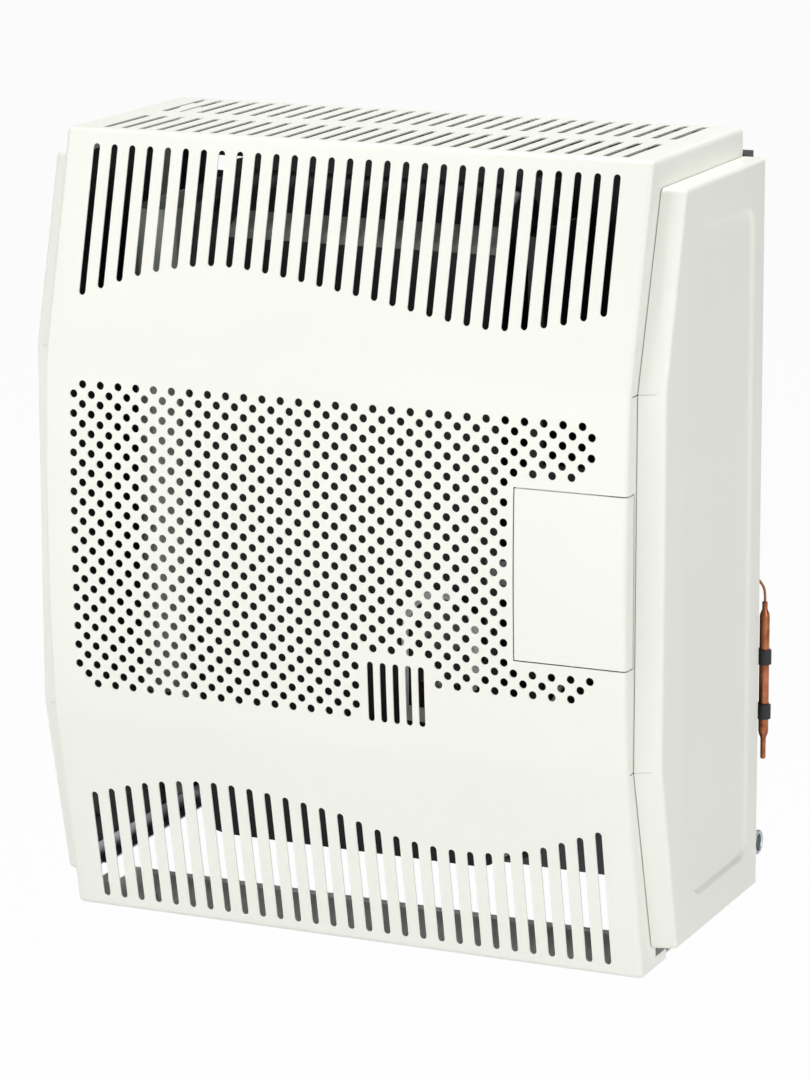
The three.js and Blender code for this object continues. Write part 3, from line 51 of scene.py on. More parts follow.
WIDTH, HEIGHT, SHEET = 474, 610, 1
HALF = WIDTH / 2
REAR = -20
TOP_FRONT, FOLD_Y, BOTTOM_FRONT = REAR - 185, REAR - 229, REAR - 196
UPPER_FOLD, LOWER_FOLD, BOW = 446, 166, 6
BOW_Y = FOLD_Y - BOW
BEND, FOLD_RADIUS, EDGE = 5.5, 60, 4
SIDE_RETURN, BOTTOM_RETURN, BOTTOM_LIP = 22, 48, 10

SLOT_COUNT, SLOT_PITCH, SLOT_WIDTH = 29, 15, 5.5
SLOTS = [(k - SLOT_COUNT // 2) * SLOT_PITCH for k in range(SLOT_COUNT)]
SLOTS_LOW, SLOTS_HIGH = 9.4, 599.5
# Distance along the slope from the fold to the slots' ends, as (x, distance)
UPPER_ENDS = [
    (-225, 37), (-210, 44), (-155, 64), (-93, 72.5), (10, 59), (118, 41), (165, 45), (210, 56.5),
    (225, 62),
]
LOWER_ENDS = [
    (-225, 73), (-210, 68.5), (-155, 53.2), (-95, 47.8), (-5, 59.5), (40, 72.8), (93, 79.2),
    (146, 73.5), (210, 49), (225, 42),
]
VIEW_COUNT, VIEW_LEFT, VIEW_PITCH, VIEW_WIDTH = 5, 33.3, 10.3, 5
VIEW_LOW, VIEW_HIGH = 186, 232.5
HOLE_ROWS, HOLE_COLUMNS, HOLE_PITCH, HOLE_RADIUS = 32, 57, 7.5, 3.15
HOLES_LEFT, HOLES_TOP = -211.5, 423

DOOR_LEFT, DOOR_LOW, DOOR_HIGH, DOOR_GAP = 149.5, 246, 374, 1
DOOR_WRAP_Y = FOLD_Y - BOW / 2 + 11.5 - SHEET
HINGE_X, HINGE_Y = HALF - 2.5, DOOR_WRAP_Y - 2

PANEL_IN, PANEL_OUT = HALF + 0.7, HALF + 19
PANEL_TOP, PANEL_LOW = 588.5, 19.5
PANEL_EDGE = 3.5
# The panels' front outline, from its top to its lower end
PANEL_Y_TOP, PANEL_Y_UPPER = REAR - 168, REAR - 207
PANEL_Y_LOWER, PANEL_Y_BOTTOM = REAR - 210, REAR - 176

KNOB_X, KNOB_Z, BUTTON_Z, CONTROL_Y = 190, 322, 268, -206
BULB_X, BULB_Y = 256, -9.7
PLATE_SIDE = 238.5

# ---------------------------------------------------------------- outlines


def corner_arc(before, corner, after, radius, steps):
    """Points of the arc that rounds one corner."""
    c = Vector(corner)
    into = (Vector(before) - c).normalized()
    out = (Vector(after) - c).normalized()
    half = math.acos(max(-1, min(1, into.dot(out)))) / 2
    reach = radius / math.tan(half)
    centre = c + (into + out).normalized() * (radius / math.sin(half))
    first = c + into * reach - centre
    last = c + out * reach - centre
    turn = math.atan2(first.x * last.y - first.y * last.x, first.dot(last))
    points = []
    for k in range(steps + 1):
        a = turn * k / steps
        points.append((centre.x + first.x * math.cos(a) - first.y * math.sin(a),
                       centre.y + first.x * math.sin(a) + first.y * math.cos(a)))
    return points


def rounded(corners):
    """A closed outline from corners (a, b) or (a, b, radius, steps)."""
    loop = []
    for k, corner in enumerate(corners):
        if len(corner) == 2:
            loop.append(corner)
            continue
        before, after = corners[k - 1], corners[(k + 1) % len(corners)]
        loop += corner_arc(before[:2], corner[:2], after[:2], corner[2], corner[3])
    return loop


def area(loop):
    return sum(a[0] * b[1] - a[1] * b[0] for a, b in zip(loop, loop[1:] + loop[:1])) / 2


def inset(loop, distance):
    """The closed outline moved inwards, with mitred corners."""
    side = 1 if area(loop) > 0 else -1
    moved = []
    for k, point in enumerate(loop):
        p = Vector(point)
        first = (p - Vector(loop[k - 1])).normalized()
        second = (Vector(loop[(k + 1) % len(loop)]) - p).normalized()
        normal = Vector((-first.y - second.y, first.x + second.x)).normalized()
        lean = normal.dot(Vector((-first.y, first.x)))
        q = p + normal * (side * distance / lean)
        moved.append((q.x, q.y))
    return moved


def circle(a, b, radius, sides):
    turns = [2 * math.pi * k / sides for k in range(sides)]
    return [(a + radius * math.cos(t), b + radius * math.sin(t)) for t in turns]


def rectangle(a0, a1, b0, b1):
    return [(a0, b0), (a1, b0), (a1, b1), (a0, b1)]


def slot(a, low, high, width=SLOT_WIDTH, steps=7):
    """An upright slot with round ends."""
    r = width / 2
    loop = []
    for k in range(steps + 1):
        t = math.pi + math.pi * k / steps
        loop.append((a + r * math.cos(t), low + r + r * math.sin(t)))
    for k in range(steps + 1):
        t = math.pi * k / steps
        loop.append((a + r * math.cos(t), high - r + r * math.sin(t)))
    return loop


def through(knots, x):
    """A smooth curve through the knots."""
    xs = [k[0] for k in knots]
    ys = [k[1] for k in knots]
    last = len(xs) - 1
    slope = []
    for k in range(len(xs)):
        before, after = max(k - 1, 0), min(k + 1, last)
        slope.append((ys[after] - ys[before]) / (xs[after] - xs[before]))
    k = max(j for j in range(last) if xs[j] <= x)
    h = xs[k + 1] - xs[k]
    t = (x - xs[k]) / h
    return ((2 * t**3 - 3 * t**2 + 1) * ys[k] + (t**3 - 2 * t**2 + t) * h * slope[k]
            + (3 * t**2 - 2 * t**3) * ys[k + 1] + (t**3 - t**2) * h * slope[k + 1])


# ---------------------------------------------------------------- meshes

ALONG = {
    "x": lambda a, b, s: (s, a, b),
    "y": lambda a, b, s: (a, s, b),
    "z": lambda a, b, s: (a, b, s),
}


def new_piece(name, points, faces):
    mesh = bpy.data.meshes.new(name)
    mesh.from_pydata([(x * MM, y * MM, (z - DROP) * MM) for x, y, z in points], [], faces)
    mesh.validate()
    mesh.update()
    piece = bpy.data.objects.new(name, mesh)
    bpy.context.scene.collection.objects.link(piece)
    return piece


def loft_data(sections, axis):
    """Points and faces of a closed body through outlines [(place, loop)], with outward faces."""
    sections = sorted(sections, key=lambda s: s[0])
    count = len(sections[0][1])
    points = [ALONG[axis](a, b, place) for place, loop in sections for a, b in loop]
    last = (len(sections) - 1) * count
    faces = [tuple(range(count))[::-1], tuple(range(last, last + count))]
    for level in range(len(sections) - 1):
        low = level * count
        for k in range(count):
            n = (k + 1) % count
            faces.append((low + k, low + n, low + count + n, low + count + k))
    # With the outline given as (x, z) along y the handedness turns round
    flip = (area(sections[0][1]) < 0) != (axis == "y")
    if flip:
        faces = [tuple(reversed(f)) for f in faces]
    return points, faces


def gather(parts):
    """Several bodies as one mesh."""
    points, faces = [], []
    for p, f in parts:
        base = len(points)
        points += p
        faces += [tuple(base + i for i in face) for face in f]
    return points, faces


def loft(name, sections, axis):
    return new_piece(name, *loft_data(sections, axis))


def prisms(name, loops, axis, start, end):
    return new_piece(name, *gather([loft_data([(start, loop), (end, loop)], axis) for loop in loops]))


def block(name, x0, x1, y0, y1, z0, z1):
    return prisms(name, [rectangle(x0, x1, y0, y1)], "z", z0, z1)


def carve(piece, other, how="DIFFERENCE"):
    """A boolean with another piece, applied to the mesh."""
    step = piece.modifiers.new("boolean", "BOOLEAN")
    step.operation = how
    step.object = other
    step.solver = "MANIFOLD"
    graph = bpy.context.evaluated_depsgraph_get()
    mesh = bpy.data.meshes.new_from_object(piece.evaluated_get(graph))
    piece.modifiers.clear()
    old = piece.data
    piece.data = mesh
    bpy.data.meshes.remove(old)
    bpy.data.objects.remove(other)
    return piece


def smooth(piece, angle=32):
    piece.data.shade_smooth()
    piece.data.set_sharp_from_angle(angle=math.radians(angle))
    return piece


def lathe_data(profile, centre, axis, sides):
    """A turned body from profile points (radius, place) that start and end on the axis."""
    points, faces, rings = [], [], []
    for radius, place in profile:
        if radius == 0:
            rings.append([len(points)])
            points.append(ALONG[axis](centre[0], centre[1], place))
        else:
            rings.append(list(range(len(points), len(points) + sides)))
            points += [ALONG[axis](a, b, place) for a, b in circle(centre[0], centre[1], radius, sides)]
    for low, high in zip(rings, rings[1:]):
        for k in range(sides):
            n = (k + 1) % sides
            if len(low) == 1:
                faces.append((low[0], high[n], high[k]))
            elif len(high) == 1:
                faces.append((low[k], low[n], high[0]))
            else:
                faces.append((low[k], low[n], high[n], high[k]))
    return points, faces


def turned(name, profile, centre, axis, sides=48):
    piece = new_piece(name, *lathe_data(profile, centre, axis, sides))
    fix_normals(piece)
    return smooth(piece)


def fix_normals(piece):
    work = bmesh.new()
    work.from_mesh(piece.data)
    bmesh.ops.recalc_face_normals(work, faces=work.faces)
    work.to_mesh(piece.data)
    work.free()


def ring(name, radii, place, centre, axis, sides=64, chamfer=0.3):
    """A plain ring with its edges broken."""
    outer, inner = radii
    start, end = place
    c = chamfer
    profile = [
        (inner + c, start), (outer - c, start), (outer, start + c), (outer, end - c),
        (outer - c, end), (inner + c, end), (inner, end - c), (inner, start + c), (inner + c, start),
    ]
    points, faces = lathe_data(profile, centre, axis, sides)
    piece = new_piece(name, points, faces)
    weld(piece)
    fix_normals(piece)
    return smooth(piece)


def weld(piece):
    work = bmesh.new()
    work.from_mesh(piece.data)
    bmesh.ops.remove_doubles(work, verts=work.verts, dist=1e-7)
    work.to_mesh(piece.data)
    work.free()


def tube(name, points, radius, resolution=24):
    """A round tube on a smooth curve through the points."""
    curve = bpy.data.curves.new(name, "CURVE")
    curve.dimensions = "3D"
    curve.bevel_depth = radius * MM
    curve.bevel_resolution = 5
    curve.resolution_u = 16
    curve.use_fill_caps = True
    spline = curve.splines.new("POLY")
    path = catmull(points, resolution)
    spline.points.add(len(path) - 1)
    for point, (x, y, z) in zip(spline.points, path):
        point.co = (x * MM, y * MM, (z - DROP) * MM, 1)
    piece = bpy.data.objects.new(name, curve)
    bpy.context.scene.collection.objects.link(piece)
    graph = bpy.context.evaluated_depsgraph_get()
    mesh = bpy.data.meshes.new_from_object(piece.evaluated_get(graph))
    solid = bpy.data.objects.new(name, mesh)
    bpy.context.scene.collection.objects.link(solid)
    bpy.data.objects.remove(piece)
    solid.name = name
    return smooth(solid, 50)


def catmull(points, resolution):
    """Points of a smooth curve that passes through all the given ones."""
    p = [Vector(q) for q in points]
    p = [p[0] * 2 - p[1]] + p + [p[-1] * 2 - p[-2]]
    path = []
    for k in range(1, len(p) - 2):
        for j in range(resolution):
            t = j / resolution
            a, b, c, d = p[k - 1], p[k], p[k + 1], p[k + 2]
            path.append(0.5 * ((2 * b) + (c - a) * t + (2 * a - 5 * b + 4 * c - d) * t * t
                               + (3 * b - a - 3 * c + d) * t**3))
    path.append(p[-2])
    return [tuple(q) for q in path]


# ---------------------------------------------------------------- materials


def material(name, color, roughness, metallic=0.0, **extra):
    """A node material of one colour, which the finishes below vary and roughen."""
    mat = bpy.data.materials.new(name)
    mat.use_nodes = True
    shader = mat.node_tree.nodes["Principled BSDF"]
    shader.inputs["Base Color"].default_value = (*color, 1)
    shader.inputs["Roughness"].default_value = roughness
    shader.inputs["Metallic"].default_value = metallic
    for key, value in extra.items():
        shader.inputs[key.replace("_", " ")].default_value = value
    return mat


def texture(mat, kind, scale, **settings):
    """A texture node in object coordinates, in metres."""
    nodes, links = mat.node_tree.nodes, mat.node_tree.links
    place = nodes.get("place") or nodes.new("ShaderNodeTexCoord")
    place.name = "place"
    node = nodes.new(kind)
    node.inputs["Scale"].default_value = scale
    for key, value in settings.items():
        if key in node.inputs:
            node.inputs[key].default_value = value
        else:
            setattr(node, key, value)
    links.new(place.outputs["Object"], node.inputs["Vector"])
    return node


def vary(mat, socket, node, output, low, high, at=(0.35, 0.65)):
    """Varies a colour or a number of the shader between two values with a texture."""
    nodes, links = mat.node_tree.nodes, mat.node_tree.links
    ramp = nodes.new("ShaderNodeValToRGB")
    ramp.color_ramp.elements[0].position, ramp.color_ramp.elements[1].position = at
    as_color = lambda v: (*v, 1) if isinstance(v, tuple) else (v, v, v, 1)
    ramp.color_ramp.elements[0].color = as_color(low)
    ramp.color_ramp.elements[1].color = as_color(high)
    links.new(node.outputs[output], ramp.inputs[0])
    links.new(ramp.outputs[0], nodes["Principled BSDF"].inputs[socket])
    return ramp


def relief(mat, node, output, distance, strength=0.5):
    """Adds a bump, on top of any that is there."""
    nodes, links = mat.node_tree.nodes, mat.node_tree.links
    bump = nodes.new("ShaderNodeBump")
    bump.inputs["Distance"].default_value = distance
    bump.inputs["Strength"].default_value = strength
    links.new(node.outputs[output], bump.inputs["Height"])
    target = nodes["Principled BSDF"].inputs["Normal"]
    if target.is_linked:
        links.new(target.links[0].from_socket, bump.inputs["Normal"])
    links.new(bump.outputs[0], target)


def powder_coat(name, light, dark):
    mat = material(name, light, 0.4, Specular_IOR_Level=0.45)
    cloud = texture(mat, "ShaderNodeTexNoise", 6, Detail=3.0)
    vary(mat, "Base Color", cloud, "Fac", dark, light)
    peel = texture(mat, "ShaderNodeTexNoise", 520, Detail=3.0, Roughness=0.55)
    grain = texture(mat, "ShaderNodeTexNoise", 1900, Detail=2.0)
    vary(mat, "Roughness", peel, "Fac", 0.36, 0.48)
    relief(mat, peel, "Fac", 0.00012, 0.35)
    relief(mat, grain, "Fac", 0.00004, 0.3)
    return mat


def zinc(name, light, dark, roughness=(0.34, 0.5)):
    """Galvanised sheet: flat crystals of slightly different brightness."""
    mat = material(name, light, 0.42, 1.0)
    crystals = texture(mat, "ShaderNodeTexVoronoi", 95, feature="F1")
    wash = texture(mat, "ShaderNodeTexNoise", 14, Detail=4.0)
    vary(mat, "Base Color", crystals, "Color", dark, light, (0.1, 0.9))
    vary(mat, "Roughness", wash, "Fac", *roughness)
    fine = texture(mat, "ShaderNodeTexNoise", 700, Detail=3.0)
    relief(mat, fine, "Fac", 0.00003, 0.3)
    return mat


def plain_metal(name, light, dark, rough, scale=40):
    mat = material(name, light, rough, 1.0)
    stain = texture(mat, "ShaderNodeTexNoise", scale, Detail=5.0, Roughness=0.6)
    vary(mat, "Base Color", stain, "Fac", dark, light)
    vary(mat, "Roughness", stain, "Fac", rough + 0.12, rough - 0.06)
    fine = texture(mat, "ShaderNodeTexNoise", 900, Detail=3.0)
    relief(mat, fine, "Fac", 0.00003, 0.3)
    return mat


def moulded(name, light, dark, rough, metallic=0.0, depth=0.00004, scale=1500):
    mat = material(name, light, rough, metallic)
    cloud = texture(mat, "ShaderNodeTexNoise", 30, Detail=4.0)
    vary(mat, "Base Color", cloud, "Fac", dark, light)
    vary(mat, "Roughness", cloud, "Fac", rough - 0.05, rough + 0.08)
    fine = texture(mat, "ShaderNodeTexNoise", scale, Detail=3.0)
    relief(mat, fine, "Fac", depth, 0.4)
    return mat


IVORY = powder_coat("ivory_paint", (0.93, 0.935, 0.87), (0.915, 0.92, 0.855))
ZINC = zinc("galvanised_steel", (0.62, 0.66, 0.68), (0.47, 0.51, 0.53))
ENAMEL = moulded("black_enamel", (0.018, 0.018, 0.02), (0.012, 0.012, 0.013), 0.45,
                 depth=0.00008, scale=600)
BRASS = plain_metal("brass", (0.66, 0.5, 0.22), (0.5, 0.36, 0.15), 0.3)
COPPER = plain_metal("copper", (0.52, 0.2, 0.1), (0.3, 0.09, 0.04), 0.34, 90)
AGED_COPPER = plain_metal("aged_copper", (0.1, 0.055, 0.04), (0.05, 0.03, 0.024), 0.5, 90)
CAST = plain_metal("cast_aluminium", (0.62, 0.63, 0.64), (0.5, 0.51, 0.52), 0.46, 160)
BLACK = moulded("black_plastic", (0.022, 0.022, 0.024), (0.014, 0.014, 0.015), 0.5)
BUTTON = moulded("ivory_button", (0.9, 0.89, 0.82), (0.86, 0.85, 0.78), 0.3, depth=0.00001)
CERAMIC = moulded("white_ceramic", (0.82, 0.8, 0.74), (0.76, 0.74, 0.68), 0.28)
GASKET = moulded("fibre_gasket", (0.6, 0.58, 0.52), (0.46, 0.44, 0.4), 0.9, depth=0.0002, scale=420)
FERRITE = moulded("ferrite", (0.045, 0.045, 0.048), (0.03, 0.03, 0.032), 0.62)
# Partly painted shade: a dark steel made darker still, so the pieces deep inside the heater, the magnet
# bracket and the side panels' inner faces look as dark as the shade there
DARK_STEEL_AND_SHADE = moulded("dark_steel", (0.07, 0.075, 0.075), (0.05, 0.055, 0.055), 0.5, 0.4)
# Painted light: the base rail's zinc is made pale and nearly unmetallic to stand for the light that reaches
# it through the lower slots
ZINC_PAINTED_LIGHT = moulded("zinc_painted_light", (0.86, 0.89, 0.86), (0.78, 0.81, 0.78), 0.5, 0.1)
# Partly painted shade: the top deflector's steel is darkened for the shade under the top grille between the
# lit stripes
DULL_STEEL_IN_SHADE = moulded("dull_steel_painted_shade", (0.26, 0.28, 0.26), (0.16, 0.18, 0.16), 0.42, 0.2)
BARE_STEEL = moulded("bare_steel", (0.5, 0.54, 0.5), (0.36, 0.4, 0.37), 0.42, 0.2)
SLEEVE = moulded("lead_sleeve", (0.66, 0.63, 0.56), (0.58, 0.55, 0.48), 0.55)


def sight_glass():
    mat = material("sight_glass", (0.72, 0.78, 0.74), 0.06, Transmission_Weight=0.9, IOR=1.47)
    dust = texture(mat, "ShaderNodeTexNoise", 60, Detail=6.0)
    vary(mat, "Roughness", dust, "Fac", 0.04, 0.18)
    return mat


GLASS = sight_glass()


# The black field of painted shade inside the sight glass's frame, in metres above the casing's lower edge
ARCH_X, ARCH_Z, ARCH_RADIUS, ARCH_FOOT = 0.055, 0.238, 0.0262, 0.178
ARCH_METAL, ARCH_SHADE_BLACK = (0.84, 0.88, 0.86), (0.015, 0.015, 0.016)


def frame_metal_and_shade():
    """Bare metal along the arch of the sight glass's frame, black painted shade inside it."""
    mat = material("sight_frame_metal_and_shade", ARCH_METAL, 0.4, 0.3)
    nodes, links = mat.node_tree.nodes, mat.node_tree.links
    wear = texture(mat, "ShaderNodeTexNoise", 90, Detail=4.0)
    vary(mat, "Roughness", wear, "Fac", 0.34, 0.5)
    relief(mat, wear, "Fac", 0.00004, 0.3)
    split = nodes.new("ShaderNodeSeparateXYZ")
    links.new(nodes["place"].outputs["Object"], split.inputs[0])

    def step(operation, a, b):
        node = nodes.new("ShaderNodeMath")
        node.operation = operation
        for socket, value in zip(node.inputs, (a, b)):
            if isinstance(value, (int, float)):
                socket.default_value = value
            else:
                links.new(value, socket)
        return node.outputs[0]

    aside = step("SUBTRACT", split.outputs["X"], ARCH_X)
    above = step("MAXIMUM", step("SUBTRACT", split.outputs["Z"], ARCH_Z - DROP * MM), 0)
    away = step("SQRT", step("ADD", step("MULTIPLY", aside, aside), step("MULTIPLY", above, above)), 0)
    inside = step("MULTIPLY", step("LESS_THAN", away, ARCH_RADIUS),
                  step("GREATER_THAN", split.outputs["Z"], ARCH_FOOT - DROP * MM))
    mix = nodes.new("ShaderNodeMix")
    mix.data_type = "RGBA"
    mix.inputs["A"].default_value = (*ARCH_METAL, 1)
    mix.inputs["B"].default_value = (*ARCH_SHADE_BLACK, 1)
    links.new(inside, mix.inputs["Factor"])
    links.new(mix.outputs["Result"], nodes["Principled BSDF"].inputs["Base Color"])
    return mat


SIGHT_FRAME = frame_metal_and_shade()


def dress(piece, mat):
    piece.data.materials.clear()
    piece.data.materials.append(mat)
    return piece


def stand_for(piece, body, slot_name, mat, *nodes):
    dress(piece, mat)
    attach(piece, body)
    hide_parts(*nodes)
    return piece


# ---------------------------------------------------------------- front casing


def bowed_y(z):
    share = (z - (UPPER_FOLD + LOWER_FOLD) / 2) / ((UPPER_FOLD - LOWER_FOLD) / 2)
    return FOLD_Y - BOW * (1 - share * share)


def casing_loop(rear):
    steps = 28
    heights = [UPPER_FOLD + (LOWER_FOLD - UPPER_FOLD) * k / steps for k in range(1, steps)]
    return rounded([(rear, HEIGHT), (TOP_FRONT, HEIGHT, BEND, 9), (FOLD_Y, UPPER_FOLD, FOLD_RADIUS, 8)]
                   + [(bowed_y(z), z) for z in heights]
                   + [(FOLD_Y, LOWER_FOLD, FOLD_RADIUS, 8), (BOTTOM_FRONT, 0, BEND, 9), (rear, 0)])


def rounded_slab(name, loop, width, radius, steps=7):
    """The side outline across the whole width, with rounded left and right edges."""
    sections = []
    for k in range(steps + 1):
        a = math.pi / 2 * k / steps
        x = width / 2 - radius + radius * math.sin(a)
        shrunk = inset(loop, radius * (1 - math.cos(a))) if k else loop
        sections += [(x, shrunk), (-x, shrunk)]
    return loft(name, sections, "x")


def bare_casing(name):
    shell = rounded_slab(name, casing_loop(20), WIDTH, EDGE)
    inner = inset(casing_loop(40), SHEET)
    carve(shell, rounded_slab("inner", inner, WIDTH - 2 * SHEET, EDGE - SHEET))
    sharp = [
        (80, HEIGHT), (TOP_FRONT, HEIGHT), (FOLD_Y, UPPER_FOLD), (FOLD_Y, LOWER_FOLD),
        (BOTTOM_FRONT, 0), (80, 0),
    ]
    carve(shell, prisms("behind_returns", [inset(sharp, SIDE_RETURN)], "x", -HALF - 1, HALF + 1))
    carve(shell, block("behind", -HALF - 1, HALF + 1, REAR, 100, -5, HEIGHT + 5))
    return_end = BOTTOM_FRONT + BOTTOM_RETURN
    carve(shell, block("below", -HALF - 1, HALF + 1, return_end, 20, -5, SIDE_RETURN + 0.5))
    lip_front = BOTTOM_FRONT + SIDE_RETURN + 4
    carve(shell, block("above_lip", -HALF - 1, HALF + 1, lip_front, 20, BOTTOM_LIP, SIDE_RETURN + 1))
    return shell


def front_openings():
    slant_up = math.hypot(HEIGHT - UPPER_FOLD, TOP_FRONT - FOLD_Y)
    slant_low = math.hypot(LOWER_FOLD, BOTTOM_FRONT - FOLD_Y)
    loops = []
    for x in SLOTS:
        low = UPPER_FOLD + through(UPPER_ENDS, x) * (HEIGHT - UPPER_FOLD) / slant_up
        high = LOWER_FOLD - through(LOWER_ENDS, x) * LOWER_FOLD / slant_low
        loops += [slot(x, low, SLOTS_HIGH), slot(x, SLOTS_LOW, high)]
    for k in range(VIEW_COUNT):
        loops.append(slot(VIEW_LEFT + VIEW_PITCH * k, VIEW_LOW, VIEW_HIGH, VIEW_WIDTH))
    return loops


def punched(row, column):
    """Whether the staggered pattern has a hole at this row and column."""
    if (row + column) % 2 == 0:
        return False
    if row <= 5:
        return column <= (56 if row <= 4 else 54)
    if row <= 24:
        return column <= 47
    if row <= 27:
        return column <= 31 or 40 <= column <= (56, 55, 54)[row - 25]
    return (2 if row == 31 else 0) <= column <= 31


def perforation():
    loops = []
    for j in range(HOLE_ROWS):
        for i in range(HOLE_COLUMNS):
            if punched(j, i):
                x, z = HOLES_LEFT + HOLE_PITCH * i, HOLES_TOP - HOLE_PITCH * j
                loops.append(circle(x, z, HOLE_RADIUS, 20))
    return loops


def front_casing():
    casing = bare_casing("casing")
    carve(casing, prisms("front_slots", front_openings(), "y", BOW_Y - 20, BOW_Y + 60))
    carve(casing, prisms("perforation", perforation(), "y", BOW_Y - 20, BOW_Y + 20))
    front, length, gap = TOP_FRONT + 11, 72, 24
    starts = (front, front + length + gap)
    rows = [slot(x, start, start + length) for x in SLOTS for start in starts]
    carve(casing, prisms("top_slots", rows, "z", HEIGHT - 10, HEIGHT + 10))
    z0, z1 = DOOR_LOW - DOOR_GAP, DOOR_HIGH + DOOR_GAP
    step = HALF - 2 * EDGE
    carve(casing, block("door_front", DOOR_LEFT - DOOR_GAP, step + 0.5, BOW_Y - 5, FOLD_Y + 11.5, z0, z1))
    carve(casing, block("door_side", step, HALF + 1, BOW_Y - 5, DOOR_WRAP_Y + 1.9, z0, z1))
    for side in (-1, 1):
        for z in (UPPER_FOLD, LOWER_FOLD):
            x0, x1 = sorted((side * (HALF - 2), side * (HALF + 1)))
            carve(casing, block("relief", x0, x1, FOLD_Y + EDGE, FOLD_Y + SIDE_RETURN + 2, z - 0.5, z + 0.5))
        carve(casing, prisms("screw_hole", [circle(side * 180, BOTTOM_FRONT + 22, 2, 24)], "z", -5, 10))
    return smooth(casing)


stand_for(front_casing(), "heater", "ivory_paint", IVORY, "front_casing")

# ---------------------------------------------------------------- control door


def control_door():
    door = bare_casing("door")
    whole = block("door_block", DOOR_LEFT, HALF + 5, BOW_Y - 5, DOOR_WRAP_Y, DOOR_LOW, DOOR_HIGH)
    carve(door, whole, "INTERSECT")
    skin = BOW_Y + BOW / 4 + SHEET / 2
    rear = skin + 6
    carve(door, block("left_edge", DOOR_LEFT, DOOR_LEFT + SHEET, skin, rear, DOOR_LOW, DOOR_HIGH), "UNION")
    for z in (DOOR_LOW, DOOR_HIGH - SHEET):
        carve(door, block("edge", DOOR_LEFT, HALF - 2 * SHEET, skin, rear, z, z + SHEET), "UNION")
        neck = [rectangle(HINGE_X - 9, HINGE_X + 1, rear - 2, HINGE_Y)]
        carve(door, prisms("neck", neck, "z", z, z + SHEET), "UNION")
        carve(door, prisms("ear", [circle(HINGE_X, HINGE_Y, 2.4, 32)], "z", z, z + SHEET), "UNION")
        carve(door, prisms("pin_hole", [circle(HINGE_X, HINGE_Y, 1.55, 32)], "z", z - 1, z + 2))
    return smooth(door)


stand_for(control_door(), "door", "ivory_paint", IVORY, "control_door")

PINS = [
    ("upper_pin", "door_pin_upper", DOOR_HIGH - 2.75),
    ("lower_pin", "door_pin_lower", DOOR_LOW - 4.75),
]
for name, node, low in PINS:
    profile = [
        (0, low), (0.9, low), (1.25, low + 0.35), (1.25, low + 7.15), (0.9, low + 7.5),
        (0, low + 7.5),
    ]
    pin = turned(name, profile, (HINGE_X, HINGE_Y), "z", 32)
    stand_for(pin, "door", "galvanised_steel", ZINC, node)

# ---------------------------------------------------------------- side panels


def panel_loop(slant, end_slant):
    return rounded([
        (REAR, PANEL_TOP),
        (PANEL_Y_TOP - end_slant, PANEL_TOP, 6, 7),
        (PANEL_Y_UPPER - slant, UPPER_FOLD, 40, 7),
        (PANEL_Y_LOWER - slant, LOWER_FOLD, 40, 7),
        (PANEL_Y_BOTTOM - end_slant, PANEL_LOW, 6, 7),
        (REAR, PANEL_LOW),
    ])


def recess_loop(grow):
    rear = REAR - 27
    top, low = PANEL_TOP - 36, PANEL_LOW + 33
    loop = rounded([
        (rear, top, 14, 8),
        (PANEL_Y_TOP + 39, top, 14, 8),
        (PANEL_Y_UPPER + 51, UPPER_FOLD, 40, 6),
        (PANEL_Y_LOWER + 51, LOWER_FOLD, 40, 6),
        (PANEL_Y_BOTTOM + 39, low, 14, 8),
        (rear, low, 14, 8),
    ])
    return inset(loop, -grow) if grow else loop


def side_panel(side):
    """The right panel as drawn, or its mirror image for the left side."""
    name = "left_panel" if side < 0 else "right_panel"

    def skin(thickness):
        flat = panel_loop(0, 0)
        rim = panel_loop(9, 4)
        sections = [(PANEL_IN - 1, inset(rim, thickness)) if thickness else (PANEL_IN, rim)]
        steps = 8
        for k in range(steps + 1):
            a = math.pi / 2 * k / steps
            x = PANEL_OUT - PANEL_EDGE + (PANEL_EDGE - thickness) * math.sin(a)
            shrink = thickness + (PANEL_EDGE - thickness) * (1 - math.cos(a))
            sections.append((x, inset(flat, shrink) if shrink else flat))
        return sections

    def dish(depth, shift):
        """The recess, with soft edges at its floor and its rim."""
        sections = []
        steps = 12
        for k in range(steps + 1):
            t = k / steps
            x = PANEL_OUT - 3 + 3 * (3 * t * t - 2 * t**3) - depth
            sections.append((x + (0.001 * k), recess_loop(4 * t + shift)))
        sections.append((PANEL_OUT + 4, recess_loop(4.2 + shift)))
        return sections

    panel = loft(name, skin(0), "x")
    hollow = loft("hollow", skin(1), "x")
    carve(hollow, loft("dish_back", dish(1, 0.9), "x"))
    carve(panel, hollow)
    carve(panel, loft("dish", dish(0, 0), "x"))
    for z in (UPPER_FOLD, LOWER_FOLD):
        slit = block("slit", PANEL_IN - 1, PANEL_OUT - 7, REAR - 240, REAR - 200, z - 0.15, z + 0.15)
        carve(panel, slit)
    if side < 0:
        panel.data.transform(Matrix.Scale(-1, 4, Vector((1, 0, 0))))
        panel.data.flip_normals()
    return smooth(panel)


def shade_inside(panel, side, mat):
    """The faces that look into the heater get a dark painted shade instead of the ivory of the outside."""
    panel.data.materials.append(mat)
    for face in panel.data.polygons:
        if face.normal.x * side < -0.3 and face.center.x * side > (HALF + 5) * MM:
            face.material_index = 1


for side, node in ((-1, "side_panel_left"), (1, "side_panel_right")):
    panel = stand_for(side_panel(side), "heater", "ivory_paint", IVORY, node)
    shade_inside(panel, side, DARK_STEEL_AND_SHADE)

# ---------------------------------------------------------------- knob, spindle and igniter


